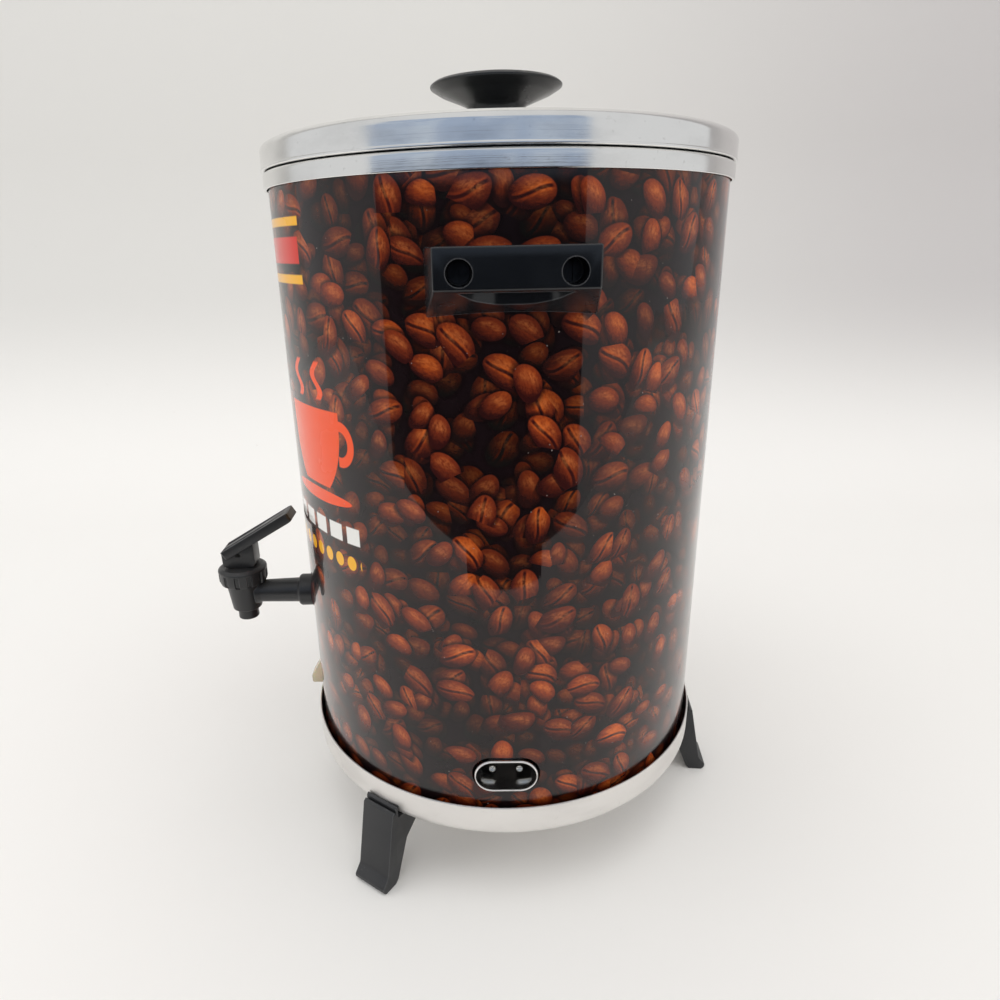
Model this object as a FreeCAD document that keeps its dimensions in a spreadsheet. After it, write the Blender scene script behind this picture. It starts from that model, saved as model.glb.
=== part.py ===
import FreeCAD, Part
import Sketcher
import math
import os

# Coffee urn with a lift-off lid, a percolator set and a lever tap.
# The urn's axis is Z, the floor is z = 0, the tap points to -Y and the two handles stand on X.

os.makedirs("parts", exist_ok=True)
doc = FreeCAD.newDocument("coffee_urn")
sheet = doc.addObject("Spreadsheet::Sheet", "Sizes")
Vector = FreeCAD.Vector
Rotation = FreeCAD.Rotation
Placement = FreeCAD.Placement

# Driving dimensions in millimetres and degrees, in the order of the object from the floor up
drivingSizes = {
    # general fits
    "seat_gap": 0.3,
    "bore_play": 0.06,
    "screw_play": 0.15,
    # base pan
    "pan_step": 2.8,
    "pan_wall": 1.0,
    "pan_floor": 38.0,
    "pan_depth": 17.5,
    "pan_corner": 6.0,
    # jacket and tank
    "jacket_radius": 105.0,
    "jacket_wall": 0.8,
    "tank_inset": 7.0,
    "tank_wall": 1.2,
    "tank_lift": 50.0,
    "tank_corner": 8.0,
    "body_tall": 293.0,
    "rim_step": 1.8,
    "rim_drop": 6.8,
    "rim_wall": 1.2,
    "well_radius": 31.0,
    "well_depth": 10.0,
    # legs
    "leg_turn": -36.2,
    "leg_width": 19.0,
    "leg_splay": 14.0,
    "leg_rise": 6.6,
    "heel_inset": 19.0,
    "heel_drop": 12.2,
    "saddle_wall": 1.5,
    "plate_top": 4.6,
    "plate_lean": 6.2,
    "toe_height": 8.5,
    "toe_depth": 9.2,
    "flange_length": 31.8,
    "flange_wall": 4.0,
    "leg_screw_inset": 25.8,
    "leg_screw_radius": 2.0,
    "leg_screw_head": 3.8,
    # handles
    "handle_drop": 29.5,
    "handle_reach": 23.0,
    "handle_back": 6.0,
    "handle_width": 63.0,
    "handle_taper": 4.0,
    "handle_face": 13.7,
    "handle_root": 22.5,
    "handle_holes": 37.8,
    "handle_hole_drop": 8.2,
    "handle_sink_radius": 4.4,
    "handle_sink_depth": 13.0,
    "scoop_width": 39.0,
    "scoop_depth": 13.0,
    "grip_width": 23.0,
    "grip_depth": 9.0,
    "grip_roof": 3.6,
    "handle_screw_radius": 1.9,
    "handle_screw_head": 3.7,
    "handle_plate_width": 48.0,
    "handle_plate_wall": 1.5,
    "handle_plate_tall": 12.0,
    # power inlet
    "inlet_turn": -2.1,
    "inlet_drop": 14.5,
    "inlet_width": 29.2,
    "inlet_tall": 17.0,
    "inlet_wall": 1.0,
    "inlet_depth": 25.0,
    "inlet_proud": 1.2,
    "inlet_block_wall": 5.0,
    "inlet_bracket_wall": 1.2,
    "pin_radius": 1.75,
    "pin_pitch": 12.7,
    "pin_length": 17.5,
    "pin_drop": 3.4,
    "pin_tail": 8.0,
    # ready light
    "light_rise": 10.0,
    "light_width": 9.0,
    "light_tall": 15.6,
    "light_proud": 8.0,
    "lamp_radius": 2.8,
    # heating
    "heater_ring": 44.0,
    "heater_tube": 3.3,
    "thermostat_radius": 8.5,
    "thermostat_tall": 7.5,
    "thermostat_place": 66.0,
    "stud_radius": 3.0,
    "stud_tail": 12.0,
    "nut_across": 10.0,
    # tap
    "tap_rise": 29.0,
    "tap_offset": 41.0,
    "tap_top_radius": 9.75,
    "tap_low_radius": 7.95,
    "tap_cone": 16.0,
    "tap_neck_rise": 6.6,
    "nozzle_radius": 5.65,
    "nozzle_length": 6.0,
    "nozzle_bore": 3.75,
    "chamber_radius": 7.0,
    "seat_drop": 7.0,
    "tube_radius": 6.0,
    "tube_end_radius": 6.9,
    "collar_radius": 8.9,
    "collar_length": 7.8,
    "shank_radius": 6.5,
    "shank_inside": 10.0,
    "gasket_wall": 1.6,
    "gasket_radius": 9.6,
    "tap_nut_wall": 5.0,
    "tap_nut_across": 19.0,
    "bonnet_radius": 13.25,
    "bonnet_tall": 9.6,
    "bonnet_plate": 3.3,
    "bonnet_slots": 12,
    "bonnet_slot_width": 2.2,
    "bonnet_slot_depth": 0.7,
    "stem_radius": 2.5,
    "stem_tongue": 4.8,
    "cup_radius": 6.2,
    "cup_tall": 5.0,
    "spring_radius": 4.6,
    "spring_wire": 0.5,
    "spring_turns": 5,
    # lever
    "pivot_rise": 7.5,
    "pivot_gap": 0.2,
    "lever_pin_radius": 1.5,
    "lever_block_width": 11.0,
    "lever_block_half": 9.0,
    "lever_cam": 4.5,
    "lever_open": 30.0,
    "lever_slope": 32.0,
    "paddle_length": 50.0,
    "paddle_width": 15.0,
    "paddle_wall": 5.4,
    "paddle_back": 9.8,
    "paddle_lift": 3.2,
    "paddle_groove": 1.4,
    # lid and knob
    "lid_step": 2.0,
    "lid_band": 11.0,
    "lid_wall": 0.9,
    "lid_crown": 5.6,
    "lid_flat": 17.0,
    "skirt_play": 0.6,
    "skirt_drop": 9.0,
    "knob_radius": 30.2,
    "knob_tall": 23.6,
    "knob_rim": 5.0,
    "knob_waist": 11.5,
    "knob_foot": 15.0,
    "knob_screw_radius": 2.2,
    # percolator set
    "pump_radius": 28.0,
    "pump_tube_radius": 4.8,
    "pump_tube_wall": 0.8,
    "pump_tube_rise": 5.0,
    "pump_hub": 8.0,
    "pump_wall": 1.0,
    "washer_radius": 5.7,
    "washer_wall": 0.8,
    "washer_play": 2.2,
    "basket_drop": 25.0,
    "basket_tall": 80.0,
    "basket_radius": 70.0,
    "basket_taper": 4.0,
    "basket_wall": 0.9,
    "basket_sleeve": 5.6,
    "basket_hole": 1.3,
    "spreader_hole": 1.4,
}


class Size:
    """A length that knows its value and the expression that gives it."""

    def __init__(self, value, text):
        self.value = float(value)
        self.text = text

    def join(self, other, sign, value):
        text = other.text if isinstance(other, Size) else repr(float(other))
        return Size(value, "(" + self.text + " " + sign + " " + text + ")")

    def __add__(self, other):
        return self.join(other, "+", self.value + plain(other))

    def __sub__(self, other):
        return self.join(other, "-", self.value - plain(other))

    def __mul__(self, other):
        return self.join(other, "*", self.value * plain(other))

    def __truediv__(self, other):
        return self.join(other, "/", self.value / plain(other))

    def __neg__(self):
        return Size(-self.value, "(0 - " + self.text + ")")

    __radd__ = __add__
    __rmul__ = __mul__

    def __rsub__(self, other):
        return Size(plain(other) - self.value, "(" + repr(float(other)) + " - " + self.text + ")")


def plain(number):
    return number.value if isinstance(number, Size) else float(number)


def root(size):
    return Size(math.sqrt(size.value), "sqrt(" + size.text + ")")


size = {}
for row, (alias, number) in enumerate(drivingSizes.items(), start=1):
    cell = "B" + str(row)
    sheet.set("A" + str(row), alias)
    sheet.set(cell, str(number))
    sheet.setAlias(cell, alias)
    size[alias] = Size(number, "Sizes." + alias)
doc.recompute()
s = type("Sizes", (), size)
nodes = []

# Sizes that follow from others: radii from the jacket's, heights from the pan's floor up
s.pan_radius = s.jacket_radius + s.pan_step
s.tank_bore = s.jacket_radius - s.tank_inset
s.rim_radius = s.jacket_radius + s.rim_step
s.lid_radius = s.jacket_radius + s.lid_step
s.leg_reach = s.pan_radius + s.leg_splay
s.flange_inner = s.pan_radius - s.flange_length
s.leg_screw_place = s.pan_radius - s.leg_screw_inset
s.inlet_back = s.jacket_radius - s.inlet_depth
s.tap_reach = s.jacket_radius + s.tap_offset
s.shank_end = s.tank_bore - s.shank_inside
s.pan_rim = s.pan_floor + s.pan_depth
s.tank_floor = s.pan_floor + s.tank_lift
s.rim_height = s.pan_floor + s.body_tall
s.handle_height = s.rim_height - s.rim_wall - s.seat_gap - s.handle_drop
s.inlet_height = s.tank_floor - s.tank_wall - s.inlet_drop
s.light_height = s.pan_rim + s.light_rise
s.tap_height = s.tank_floor + s.tap_rise
s.seat_height = s.tap_height - s.seat_drop
s.pump_tube_top = s.rim_height + s.pump_tube_rise
s.basket_floor = s.rim_height - s.basket_drop - s.basket_tall


def bind(thing, place, number):
    """Sets a property and ties it to the sheet."""
    if isinstance(number, Size):
        thing.setExpression(place, number.text)
    else:
        setattr(thing, place, number)


def keep(thing, label):
    """Names a finished sub-part and lists it as a node."""
    thing.Label = label
    nodes.append(thing)
    return thing


def newBody(name):
    return doc.addObject("PartDesign::Body", name)


def newSketch(body, name, role, turn=0.0, lift=None):
    """A sketch on one of the body's own planes, turned about the plane's upright line and lifted off it."""
    plane = [feature for feature in body.Origin.OriginFeatures if feature.Role == role][0]
    sketch = body.newObject("Sketcher::SketchObject", name)
    sketch.AttachmentSupport = [(plane, "")]
    sketch.MapMode = "FlatFace"
    sketch.AttachmentOffset = Placement(Vector(0, 0, 0), Rotation(Vector(0, 1, 0), plain(turn)))
    if lift is not None:
        sketch.setExpression("AttachmentOffset.Base.z", lift.text)
    return sketch


def pin(sketch, geometry, end, across, up):
    """Ties one point of a sketch to its two coordinates."""
    for kind, axis, number in (("DistanceX", -2, across), ("DistanceY", -1, up)):
        if abs(plain(number)) < 1e-9:
            sketch.addConstraint(Sketcher.Constraint("PointOnObject", geometry, end, axis))
            continue
        index = sketch.addConstraint(Sketcher.Constraint(kind, -1, 1, geometry, end, plain(number)))
        if isinstance(number, Size):
            sketch.setExpression("Constraints[" + str(index) + "]", number.text)


def drawOutline(sketch, points):
    """A closed outline of straight lines through points of sizes."""
    places = [Vector(plain(across), plain(up), 0) for across, up in points]
    first = sketch.GeometryCount
    count = len(points)
    lines = [Part.LineSegment(places[i], places[(i + 1) % count]) for i in range(count)]
    sketch.addGeometry(lines, False)
    for i in range(count):
        after = first + (i + 1) % count
        sketch.addConstraint(Sketcher.Constraint("Coincident", first + i, 2, after, 1))
    for i, (across, up) in enumerate(points):
        pin(sketch, first + i, 1, across, up)


def drawCircle(sketch, across, up, radius):
    circle = Part.Circle(Vector(plain(across), plain(up), 0), Vector(0, 0, 1), plain(radius))
    index = sketch.addGeometry(circle, False)
    pin(sketch, index, 3, across, up)
    rule = sketch.addConstraint(Sketcher.Constraint("Radius", index, plain(radius)))
    if isinstance(radius, Size):
        sketch.setExpression("Constraints[" + str(rule) + "]", radius.text)


def drawSlot(sketch, across, up, half, radius):
    """A slot with round ends that lies along the sketch's first axis."""
    low, high = plain(up) - plain(radius), plain(up) + plain(radius)
    left, right = plain(across) - plain(half), plain(across) + plain(half)
    first = sketch.GeometryCount
    middle = plain(up)
    turn = math.pi / 2
    leftEnd = Part.Circle(Vector(left, middle, 0), Vector(0, 0, 1), plain(radius))
    rightEnd = Part.Circle(Vector(right, middle, 0), Vector(0, 0, 1), plain(radius))
    sketch.addGeometry(Part.LineSegment(Vector(left, low, 0), Vector(right, low, 0)), False)
    sketch.addGeometry(Part.ArcOfCircle(rightEnd, -turn, turn), False)
    sketch.addGeometry(Part.LineSegment(Vector(right, high, 0), Vector(left, high, 0)), False)
    sketch.addGeometry(Part.ArcOfCircle(leftEnd, turn, 3 * turn), False)
    for i in range(4):
        sketch.addConstraint(Sketcher.Constraint("Coincident", first + i, 2, first + (i + 1) % 4, 1))
    pin(sketch, first + 1, 3, across + half, up)
    pin(sketch, first + 3, 3, across - half, up)
    pin(sketch, first, 1, across - half, up - radius)
    pin(sketch, first, 2, across + half, up - radius)
    for end, number in ((1, across + half), (2, across - half)):
        rule = Sketcher.Constraint("DistanceX", -1, 1, first + 2, end, plain(number))
        index = sketch.addConstraint(rule)
        sketch.setExpression("Constraints[" + str(index) + "]", number.text)


def revolved(name, points):
    """A body of revolution about its own Z axis through a closed outline of (radius, height)."""
    body = newBody(name)
    sketch = newSketch(body, name + "_outline", "XZ_Plane")
    drawOutline(sketch, points)
    turned = body.newObject("PartDesign::Revolution", name + "_turned")
    turned.Profile = sketch
    turned.ReferenceAxis = (sketch, ["V_Axis"])
    turned.Angle = 360
    doc.recompute()
    return body


def ringEdges(shape, rings):
    """The names of the round edges about Z with the given radius and height."""
    names = []
    for number, edge in enumerate(shape.Edges, start=1):
        curve = edge.Curve
        if not isinstance(curve, Part.Circle) or abs(abs(curve.Axis.z) - 1) > 1e-6:
            continue
        for radius, height in rings:
            if abs(curve.Radius - plain(radius)) < 0.01 and abs(curve.Center.z - plain(height)) < 0.01:
                names.append("Edge" + str(number))
    return names


def roundRings(body, radius, rings):
    """A fillet on the named rings of a turned body."""
    base = body.Tip
    edges = ringEdges(base.Shape, rings)
    fillet = body.newObject("PartDesign::Fillet", body.Name + "_round")
    fillet.Base = (base, edges)
    bind(fillet, "Radius", radius)
    doc.recompute()
    return fillet


def pocketed(body, sketch, length, reverse=False, middle=False):
    """Cuts a sketch into a body and makes sure that it removed something."""
    before = body.Shape.Volume
    pocket = body.newObject("PartDesign::Pocket", sketch.Name + "_cut")
    pocket.Profile = sketch
    pocket.Reversed = reverse
    pocket.Midplane = middle
    bind(pocket, "Length", length)
    doc.recompute()
    if not body.Shape.Volume < before - 1e-6:
        raise RuntimeError(sketch.Name + " cuts nothing")
    return pocket


def padded(body, sketch, length, reverse=False, middle=False):
    pad = body.newObject("PartDesign::Pad", sketch.Name + "_pad")
    pad.Profile = sketch
    pad.Reversed = reverse
    pad.Midplane = middle
    bind(pad, "Length", length)
    doc.recompute()
    return pad


def patterned(body, feature, count):
    """Repeats a feature about the body's Z axis."""
    pattern = body.newObject("PartDesign::PolarPattern", feature.Name + "_ring")
    pattern.Originals = [feature]
    axis = [item for item in body.Origin.OriginFeatures if item.Role == "Z_Axis"][0]
    pattern.Axis = (axis, [""])
    pattern.Angle = 360
    bind(pattern, "Occurrences", count if isinstance(count, Size) else int(count))
    body.Tip = pattern
    doc.recompute()
    return pattern


def fuseShapes(name, shapes):
    """One sub-part of one solid or several from shapes that the sheet's sizes gave."""
    thing = doc.addObject("Part::Feature", name)
    thing.Shape = shapes[0] if len(shapes) == 1 else Part.makeCompound(shapes)
    return thing


def rod(radius, length, base, direction):
    return Part.makeCylinder(plain(radius), plain(length), base, direction)


def around(azimuth):
    return Rotation(Vector(0, 0, 1), azimuth)


up = Vector(0, 0, 1)
out = Vector(1, 0, 0)
frontAzimuth = -90.0

# Base pan: a pressed dish with a rounded corner that the jacket drops into
panInner = s.pan_radius - s.pan_wall
panFloorTop = s.pan_floor + s.pan_wall
pan = revolved("base_pan", [
    (s.stud_radius + s.screw_play, s.pan_floor),
    (s.pan_radius, s.pan_floor),
    (s.pan_radius, s.pan_rim),
    (panInner, s.pan_rim),
    (panInner, panFloorTop),
    (s.stud_radius + s.screw_play, panFloorTop),
])
roundRings(pan, s.pan_corner, [(s.pan_radius, s.pan_floor)])
roundRings(pan, s.pan_corner - s.pan_wall, [(panInner, panFloorTop)])
sketch = newSketch(pan, "leg_hole", "XY_Plane")
drawCircle(sketch, s.leg_screw_place, 0, s.leg_screw_radius)
hole = pocketed(pan, sketch, s.pan_rim, reverse=True)
patterned(pan, hole, 3)
pan.Placement = Placement(Vector(0, 0, 0), around(s.leg_turn.value))
keep(pan, "base_pan")

# Tank: a drawn pot with a pump well and a rim that rolls out over the jacket
tankOuter = s.tank_bore + s.tank_wall
wellFloor = s.tank_floor - s.well_depth
rimInner = s.rim_radius - s.rim_wall
rimUnder = s.rim_height - s.rim_wall
rimLow = s.rim_height - s.rim_drop
tank = revolved("tank", [
    (0, wellFloor - s.tank_wall),
    (s.well_radius + s.tank_wall, wellFloor - s.tank_wall),
    (s.well_radius + s.tank_wall, s.tank_floor - s.tank_wall),
    (tankOuter, s.tank_floor - s.tank_wall),
    (tankOuter, rimUnder),
    (rimInner, rimUnder),
    (rimInner, rimLow),
    (s.rim_radius, rimLow),
    (s.rim_radius, s.rim_height),
    (s.tank_bore, s.rim_height),
    (s.tank_bore, s.tank_floor),
    (s.well_radius, s.tank_floor),
    (s.well_radius, wellFloor),
    (0, wellFloor),
])
roundRings(tank, s.tank_corner, [(s.tank_bore, s.tank_floor)])
roundRings(tank, s.tank_corner + s.tank_wall, [(tankOuter, s.tank_floor - s.tank_wall)])
roundRings(tank, s.rim_wall * 2, [(s.rim_radius, s.rim_height)])
roundRings(tank, s.rim_wall, [(s.tank_bore, s.rim_height)])
sketch = newSketch(tank, "tank_tap_hole", "YZ_Plane", turn=frontAzimuth)
drawCircle(sketch, 0, s.tap_height, s.shank_radius + s.screw_play)
pocketed(tank, sketch, s.jacket_radius * 2, reverse=True)
keep(tank, "tank")

# Jacket: the printed shell, cut for the tap, the inlet, the light and the handle screws
jacketInner = s.jacket_radius - s.jacket_wall
cornerInner = s.pan_corner - s.pan_wall
cornerReach = s.jacket_radius - (s.pan_radius - s.pan_corner)
cornerDepth = root(cornerInner * cornerInner - cornerReach * cornerReach)
jacketLow = s.pan_floor + s.pan_corner - cornerDepth + s.seat_gap
jacketHigh = rimUnder - s.seat_gap
jacket = revolved("jacket", [
    (jacketInner, jacketLow),
    (s.jacket_radius, jacketLow),
    (s.jacket_radius, jacketHigh),
    (jacketInner, jacketHigh),
])
sketch = newSketch(jacket, "jacket_tap_hole", "YZ_Plane", turn=frontAzimuth)
drawCircle(sketch, 0, s.tap_height, s.shank_radius + s.screw_play)
pocketed(jacket, sketch, s.jacket_radius * 2, reverse=True)
inletHalf = (s.inlet_width - s.inlet_tall) / 2
cutRadius = s.inlet_tall / 2 + s.inlet_wall
sketch = newSketch(jacket, "jacket_inlet_hole", "YZ_Plane", turn=s.inlet_turn)
drawSlot(sketch, Size(0, "0"), s.inlet_height, inletHalf, cutRadius)
pocketed(jacket, sketch, s.jacket_radius * 2, reverse=True)
sketch = newSketch(jacket, "jacket_light_hole", "YZ_Plane", turn=frontAzimuth)
lightHalf = s.light_width / 2 + s.screw_play
lightTall = s.light_tall / 2 + s.screw_play
drawOutline(sketch, [
    (-lightHalf, s.light_height - lightTall),
    (lightHalf, s.light_height - lightTall),
    (lightHalf, s.light_height + lightTall),
    (-lightHalf, s.light_height + lightTall),
])
pocketed(jacket, sketch, s.jacket_radius * 2, reverse=True)
holeHeight = s.handle_height - s.handle_hole_drop
for index, side in enumerate((-1, 1)):
    sketch = newSketch(jacket, "jacket_handle_hole_" + str(index + 1), "YZ_Plane")
    drawCircle(sketch, s.handle_holes * (side / 2), holeHeight, s.handle_screw_radius + s.screw_play)
    pocketed(jacket, sketch, s.jacket_radius * 4, middle=True)
keep(jacket, "jacket")


# Legs: a saddle on the pan's side, a leaning plate with a toe, and a flange under the pan
def makeLeg(number):
    name = "leg_" + str(number)
    plateFoot = s.leg_reach - s.plate_lean * 0.68
    plateHead = s.pan_radius + s.saddle_wall + 0.8
    saddleTop = s.pan_floor + s.leg_rise
    plateTop = s.pan_floor + s.plate_top
    flangeLow = s.pan_floor - s.flange_wall
    points = [
        (s.flange_inner, s.pan_floor),
        (s.flange_inner, flangeLow),
        (s.leg_screw_place + s.leg_screw_head * 1.6, flangeLow),
        (s.leg_reach - s.heel_inset, flangeLow - s.heel_drop),
        (s.leg_reach - s.toe_depth - 1.8, 2.0),
        (s.leg_reach - s.toe_depth, 0),
        (s.leg_reach - 1.5, 0),
        (s.leg_reach, 1.6),
        (s.leg_reach, 3.4),
        (s.leg_reach - 1.3, s.toe_height * 0.62),
        (plateFoot + 0.7, s.toe_height * 0.8),
        (plateFoot, s.toe_height * 1.3),
        (plateHead + 1.6, plateTop - 1.2),
        (plateHead + 0.6, plateTop),
        (plateHead, plateTop),
        (plateHead - 0.3, plateTop - 2.2),
        (plateHead - 0.8, plateTop - 2.2),
        (plateHead - 0.8, saddleTop - 0.7),
        (plateHead - 1.4, saddleTop),
        (s.pan_radius - 1.0, saddleTop),
        (s.pan_radius - 1.0, s.pan_floor),
    ]
    body = newBody(name)
    sketch = newSketch(body, name + "_side", "XZ_Plane")
    drawOutline(sketch, points)
    padded(body, sketch, s.leg_width, middle=True)
    sketch = newSketch(body, name + "_seat", "XY_Plane", lift=s.pan_floor)
    drawCircle(sketch, 0, 0, s.pan_radius)
    pocketed(body, sketch, s.pan_rim, reverse=True)
    sketch = newSketch(body, name + "_screw", "XY_Plane")
    drawCircle(sketch, s.leg_screw_place, 0, s.leg_screw_radius + s.screw_play)
    pocketed(body, sketch, s.pan_rim, reverse=True)
    body.Placement = Placement(Vector(0, 0, 0), around(s.leg_turn.value + 120 * (number - 1)))
    return keep(body, name)


for number in (1, 2, 3):
    makeLeg(number)


def turnedScrew(head, shank, headTall, length, base, direction):
    """A round-headed screw whose head stands on base and whose shank runs along direction."""
    cap = rod(head, headTall, base, direction)
    slot = Part.makeBox(plain(head) * 2.2, plain(head) * 0.28, plain(headTall) * 0.45)
    slot.translate(Vector(-plain(head) * 1.1, -plain(head) * 0.14, 0))
    slot.Placement = Placement(base, Rotation(up, direction)).multiply(slot.Placement)
    return cap.fuse(rod(shank, plain(headTall) + plain(length), base, direction)).cut(slot)


legScrewTall = 2.4
legScrews = []
for number in range(3):
    place = around(s.leg_turn.value + 120 * number).multVec(Vector(s.leg_screw_place.value, 0, 0))
    place.z = (s.pan_floor - s.flange_wall).value - legScrewTall
    length = s.flange_wall.value + s.pan_wall.value + 3.0
    legScrews.append(turnedScrew(s.leg_screw_head, s.leg_screw_radius, legScrewTall, length, place, up))
keep(fuseShapes("leg_screws", legScrews), "leg_screws")


# Handles: a tapered block with two sunk screws and a finger scoop under it
def makeHandle(name, azimuth):
    front = s.jacket_radius + s.handle_reach
    body = newBody(name)
    sketch = newSketch(body, name + "_top", "XY_Plane", lift=s.handle_height)
    back = s.jacket_radius - s.handle_back
    wide = s.handle_width / 2
    narrow = wide - s.handle_taper
    drawOutline(sketch, [(back, -wide), (front, -narrow), (front, narrow), (back, wide)])
    padded(body, sketch, s.handle_root, reverse=True)
    sketch = newSketch(body, name + "_slant", "XZ_Plane")
    drawOutline(sketch, [
        (s.jacket_radius - 1.0, s.handle_height - s.handle_root - 1.0),
        (s.jacket_radius, s.handle_height - s.handle_root),
        (front, s.handle_height - s.handle_face),
        (front + 2.0, s.handle_height - s.handle_face),
        (front + 2.0, s.handle_height - s.handle_root - 1.0),
    ])
    pocketed(body, sketch, s.handle_width * 2, middle=True)
    sketch = newSketch(body, name + "_seat", "XY_Plane")
    drawCircle(sketch, 0, 0, s.jacket_radius)
    pocketed(body, sketch, s.handle_height * 2, middle=True)
    scoopFront = front - 2.4
    sketch = newSketch(body, name + "_scoop", "XY_Plane")
    drawOutline(sketch, [
        (scoopFront, -s.scoop_width / 2),
        (scoopFront, s.scoop_width / 2),
        (scoopFront - s.scoop_depth * 0.62, s.scoop_width * 0.36),
        (scoopFront - s.scoop_depth * 0.95, s.scoop_width * 0.16),
        (scoopFront - s.scoop_depth * 0.95, -s.scoop_width * 0.16),
        (scoopFront - s.scoop_depth * 0.62, -s.scoop_width * 0.36),
    ])
    pocketed(body, sketch, s.handle_height - s.handle_face + 0.6, reverse=True)
    sketch = newSketch(body, name + "_grip", "XY_Plane")
    gripMiddle = scoopFront - s.grip_depth / 2 - 0.8
    drawOutline(sketch, [
        (gripMiddle - s.grip_depth / 2, -s.grip_width * 0.36),
        (gripMiddle, -s.grip_width / 2),
        (gripMiddle + s.grip_depth / 2, -s.grip_width * 0.4),
        (gripMiddle + s.grip_depth / 2, s.grip_width * 0.4),
        (gripMiddle, s.grip_width / 2),
        (gripMiddle - s.grip_depth / 2, s.grip_width * 0.36),
    ])
    pocketed(body, sketch, s.handle_height - s.grip_roof, reverse=True)
    for index, side in enumerate((-1, 1)):
        across = s.handle_holes * (side / 2)
        label = name + "_bore_" + str(index + 1)
        sketch = newSketch(body, label, "YZ_Plane")
        drawCircle(sketch, across, holeHeight, s.handle_screw_radius + s.screw_play)
        pocketed(body, sketch, front * 2, reverse=True)
        sketch = newSketch(body, label + "_sink", "YZ_Plane", lift=front - s.handle_sink_depth)
        drawCircle(sketch, across, holeHeight, s.handle_sink_radius)
        pocketed(body, sketch, s.handle_sink_depth * 2, reverse=True)
    body.Placement = Placement(Vector(0, 0, 0), around(azimuth))
    return keep(body, name)


makeHandle("handle_right", 0)
makeHandle("handle_left", 180)
handleScrews = []
platePlace = s.tank_bore + s.tank_wall + s.seat_gap
sinkFloor = s.jacket_radius + s.handle_reach - s.handle_sink_depth
handleHeadTall = 2.6
headPlace = sinkFloor.value + handleHeadTall
screwSide = s.handle_holes.value / 2
for facing in (1, -1):
    for side in (-1, 1):
        base = Vector(facing * headPlace, side * screwSide, holeHeight.value)
        length = sinkFloor.value - platePlace.value - 0.2
        head, shank = s.handle_screw_head, s.handle_screw_radius
        handleScrews.append(turnedScrew(head, shank, handleHeadTall, length, base, out * -facing))
keep(fuseShapes("handle_screws", handleScrews), "handle_screws")
plates = []
plateWide = s.handle_plate_width.value
plateTall = s.handle_plate_tall.value
for facing in (1, -1):
    plate = Part.makeBox(s.handle_plate_wall.value, plateWide, plateTall)
    plate.translate(Vector(platePlace.value, -plateWide / 2, holeHeight.value - plateTall / 2))
    for side in (-1, 1):
        place = Vector(0, side * screwSide, holeHeight.value)
        plate = plate.cut(rod(s.handle_screw_radius, s.jacket_radius, place, out))
    plate.rotate(Vector(0, 0, 0), up, 0 if facing == 1 else 180)
    plates.append(plate)
keep(fuseShapes("handle_plates", plates), "handle_plates")


# Power inlet: an oval sleeve, an insulating block, two pins and a bracket under the tank
def ovalFace(width, tall, place):
    """An upright oval with round ends, across Y, at a distance along X."""
    radius = tall / 2
    half = width / 2 - radius
    a, b = Vector(place, -half, -radius), Vector(place, half, -radius)
    c, d = Vector(place, half, radius), Vector(place, -half, radius)
    right, left = Vector(place, half + radius, 0), Vector(place, -half - radius, 0)
    edges = [
        Part.makeLine(a, b),
        Part.Arc(b, right, c).toShape(),
        Part.makeLine(c, d),
        Part.Arc(d, left, a).toShape(),
    ]
    return Part.Face(Part.Wire(edges))


inletPlace = Placement(Vector(0, 0, s.inlet_height.value), around(s.inlet_turn.value))
inletFront = (s.jacket_radius + s.inlet_proud).value
wide, tall, wall = s.inlet_width.value, s.inlet_tall.value, s.inlet_wall.value
backPlace = s.inlet_back.value
sleeveLong = inletFront - backPlace
sleeve = ovalFace(wide, tall, backPlace).extrude(out * sleeveLong)
sleeve = sleeve.cut(ovalFace(wide - 2 * wall, tall - 2 * wall, backPlace - 1).extrude(out * (sleeveLong + 2)))
rimEdges = [edge for edge in sleeve.Edges if abs(edge.BoundBox.XMin - inletFront) < 1e-6]
sleeve = sleeve.makeFillet(wall * 0.4, rimEdges)
sleevePart = fuseShapes("inlet_sleeve", [sleeve])
sleevePart.Placement = inletPlace
keep(sleevePart, "inlet_sleeve")
blockWall = s.inlet_block_wall.value
inletBlock = ovalFace(wide - 2 * wall - 0.2, tall - 2 * wall - 0.2, backPlace).extrude(out * blockWall)
pins = []
pinLong = (s.pin_length + s.pin_tail).value
pinStart = backPlace - s.pin_tail.value
pinRadius = s.pin_radius.value
for side in (-1, 1):
    base = Vector(pinStart, side * s.pin_pitch.value / 2, -s.pin_drop.value)
    inletBlock = inletBlock.cut(rod(pinRadius, pinLong, base, out))
    onePin = rod(pinRadius, pinLong, base, out)
    tip = [edge for edge in onePin.Edges if abs(edge.BoundBox.XMin - base.x - pinLong) < 1e-6]
    pins.append(onePin.makeFillet(pinRadius * 0.55, tip))
blockPart = fuseShapes("inlet_block", [inletBlock])
blockPart.Placement = inletPlace
keep(blockPart, "inlet_block")
pinPart = fuseShapes("inlet_pins", pins)
pinPart.Placement = inletPlace
keep(pinPart, "inlet_pins")
bracketWall = s.inlet_bracket_wall.value
tankUnder = (s.tank_floor - s.tank_wall).value
bracketTop = tankUnder - s.inlet_height.value
bracket = Part.makeBox(bracketWall, wide + 6, bracketTop + tall / 2 + 1)
bracket.translate(Vector(backPlace - bracketWall, -wide / 2 - 3, -tall / 2 - 1))
foot = Part.makeBox(14.0, wide + 6, bracketWall)
foot.translate(Vector(backPlace - 14.0, -wide / 2 - 3, bracketTop - bracketWall))
bracket = bracket.fuse(foot)
for side in (-1, 1):
    base = Vector(pinStart, side * s.pin_pitch.value / 2, -s.pin_drop.value)
    bracket = bracket.cut(rod(pinRadius + 1.2, pinLong, base, out))
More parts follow.
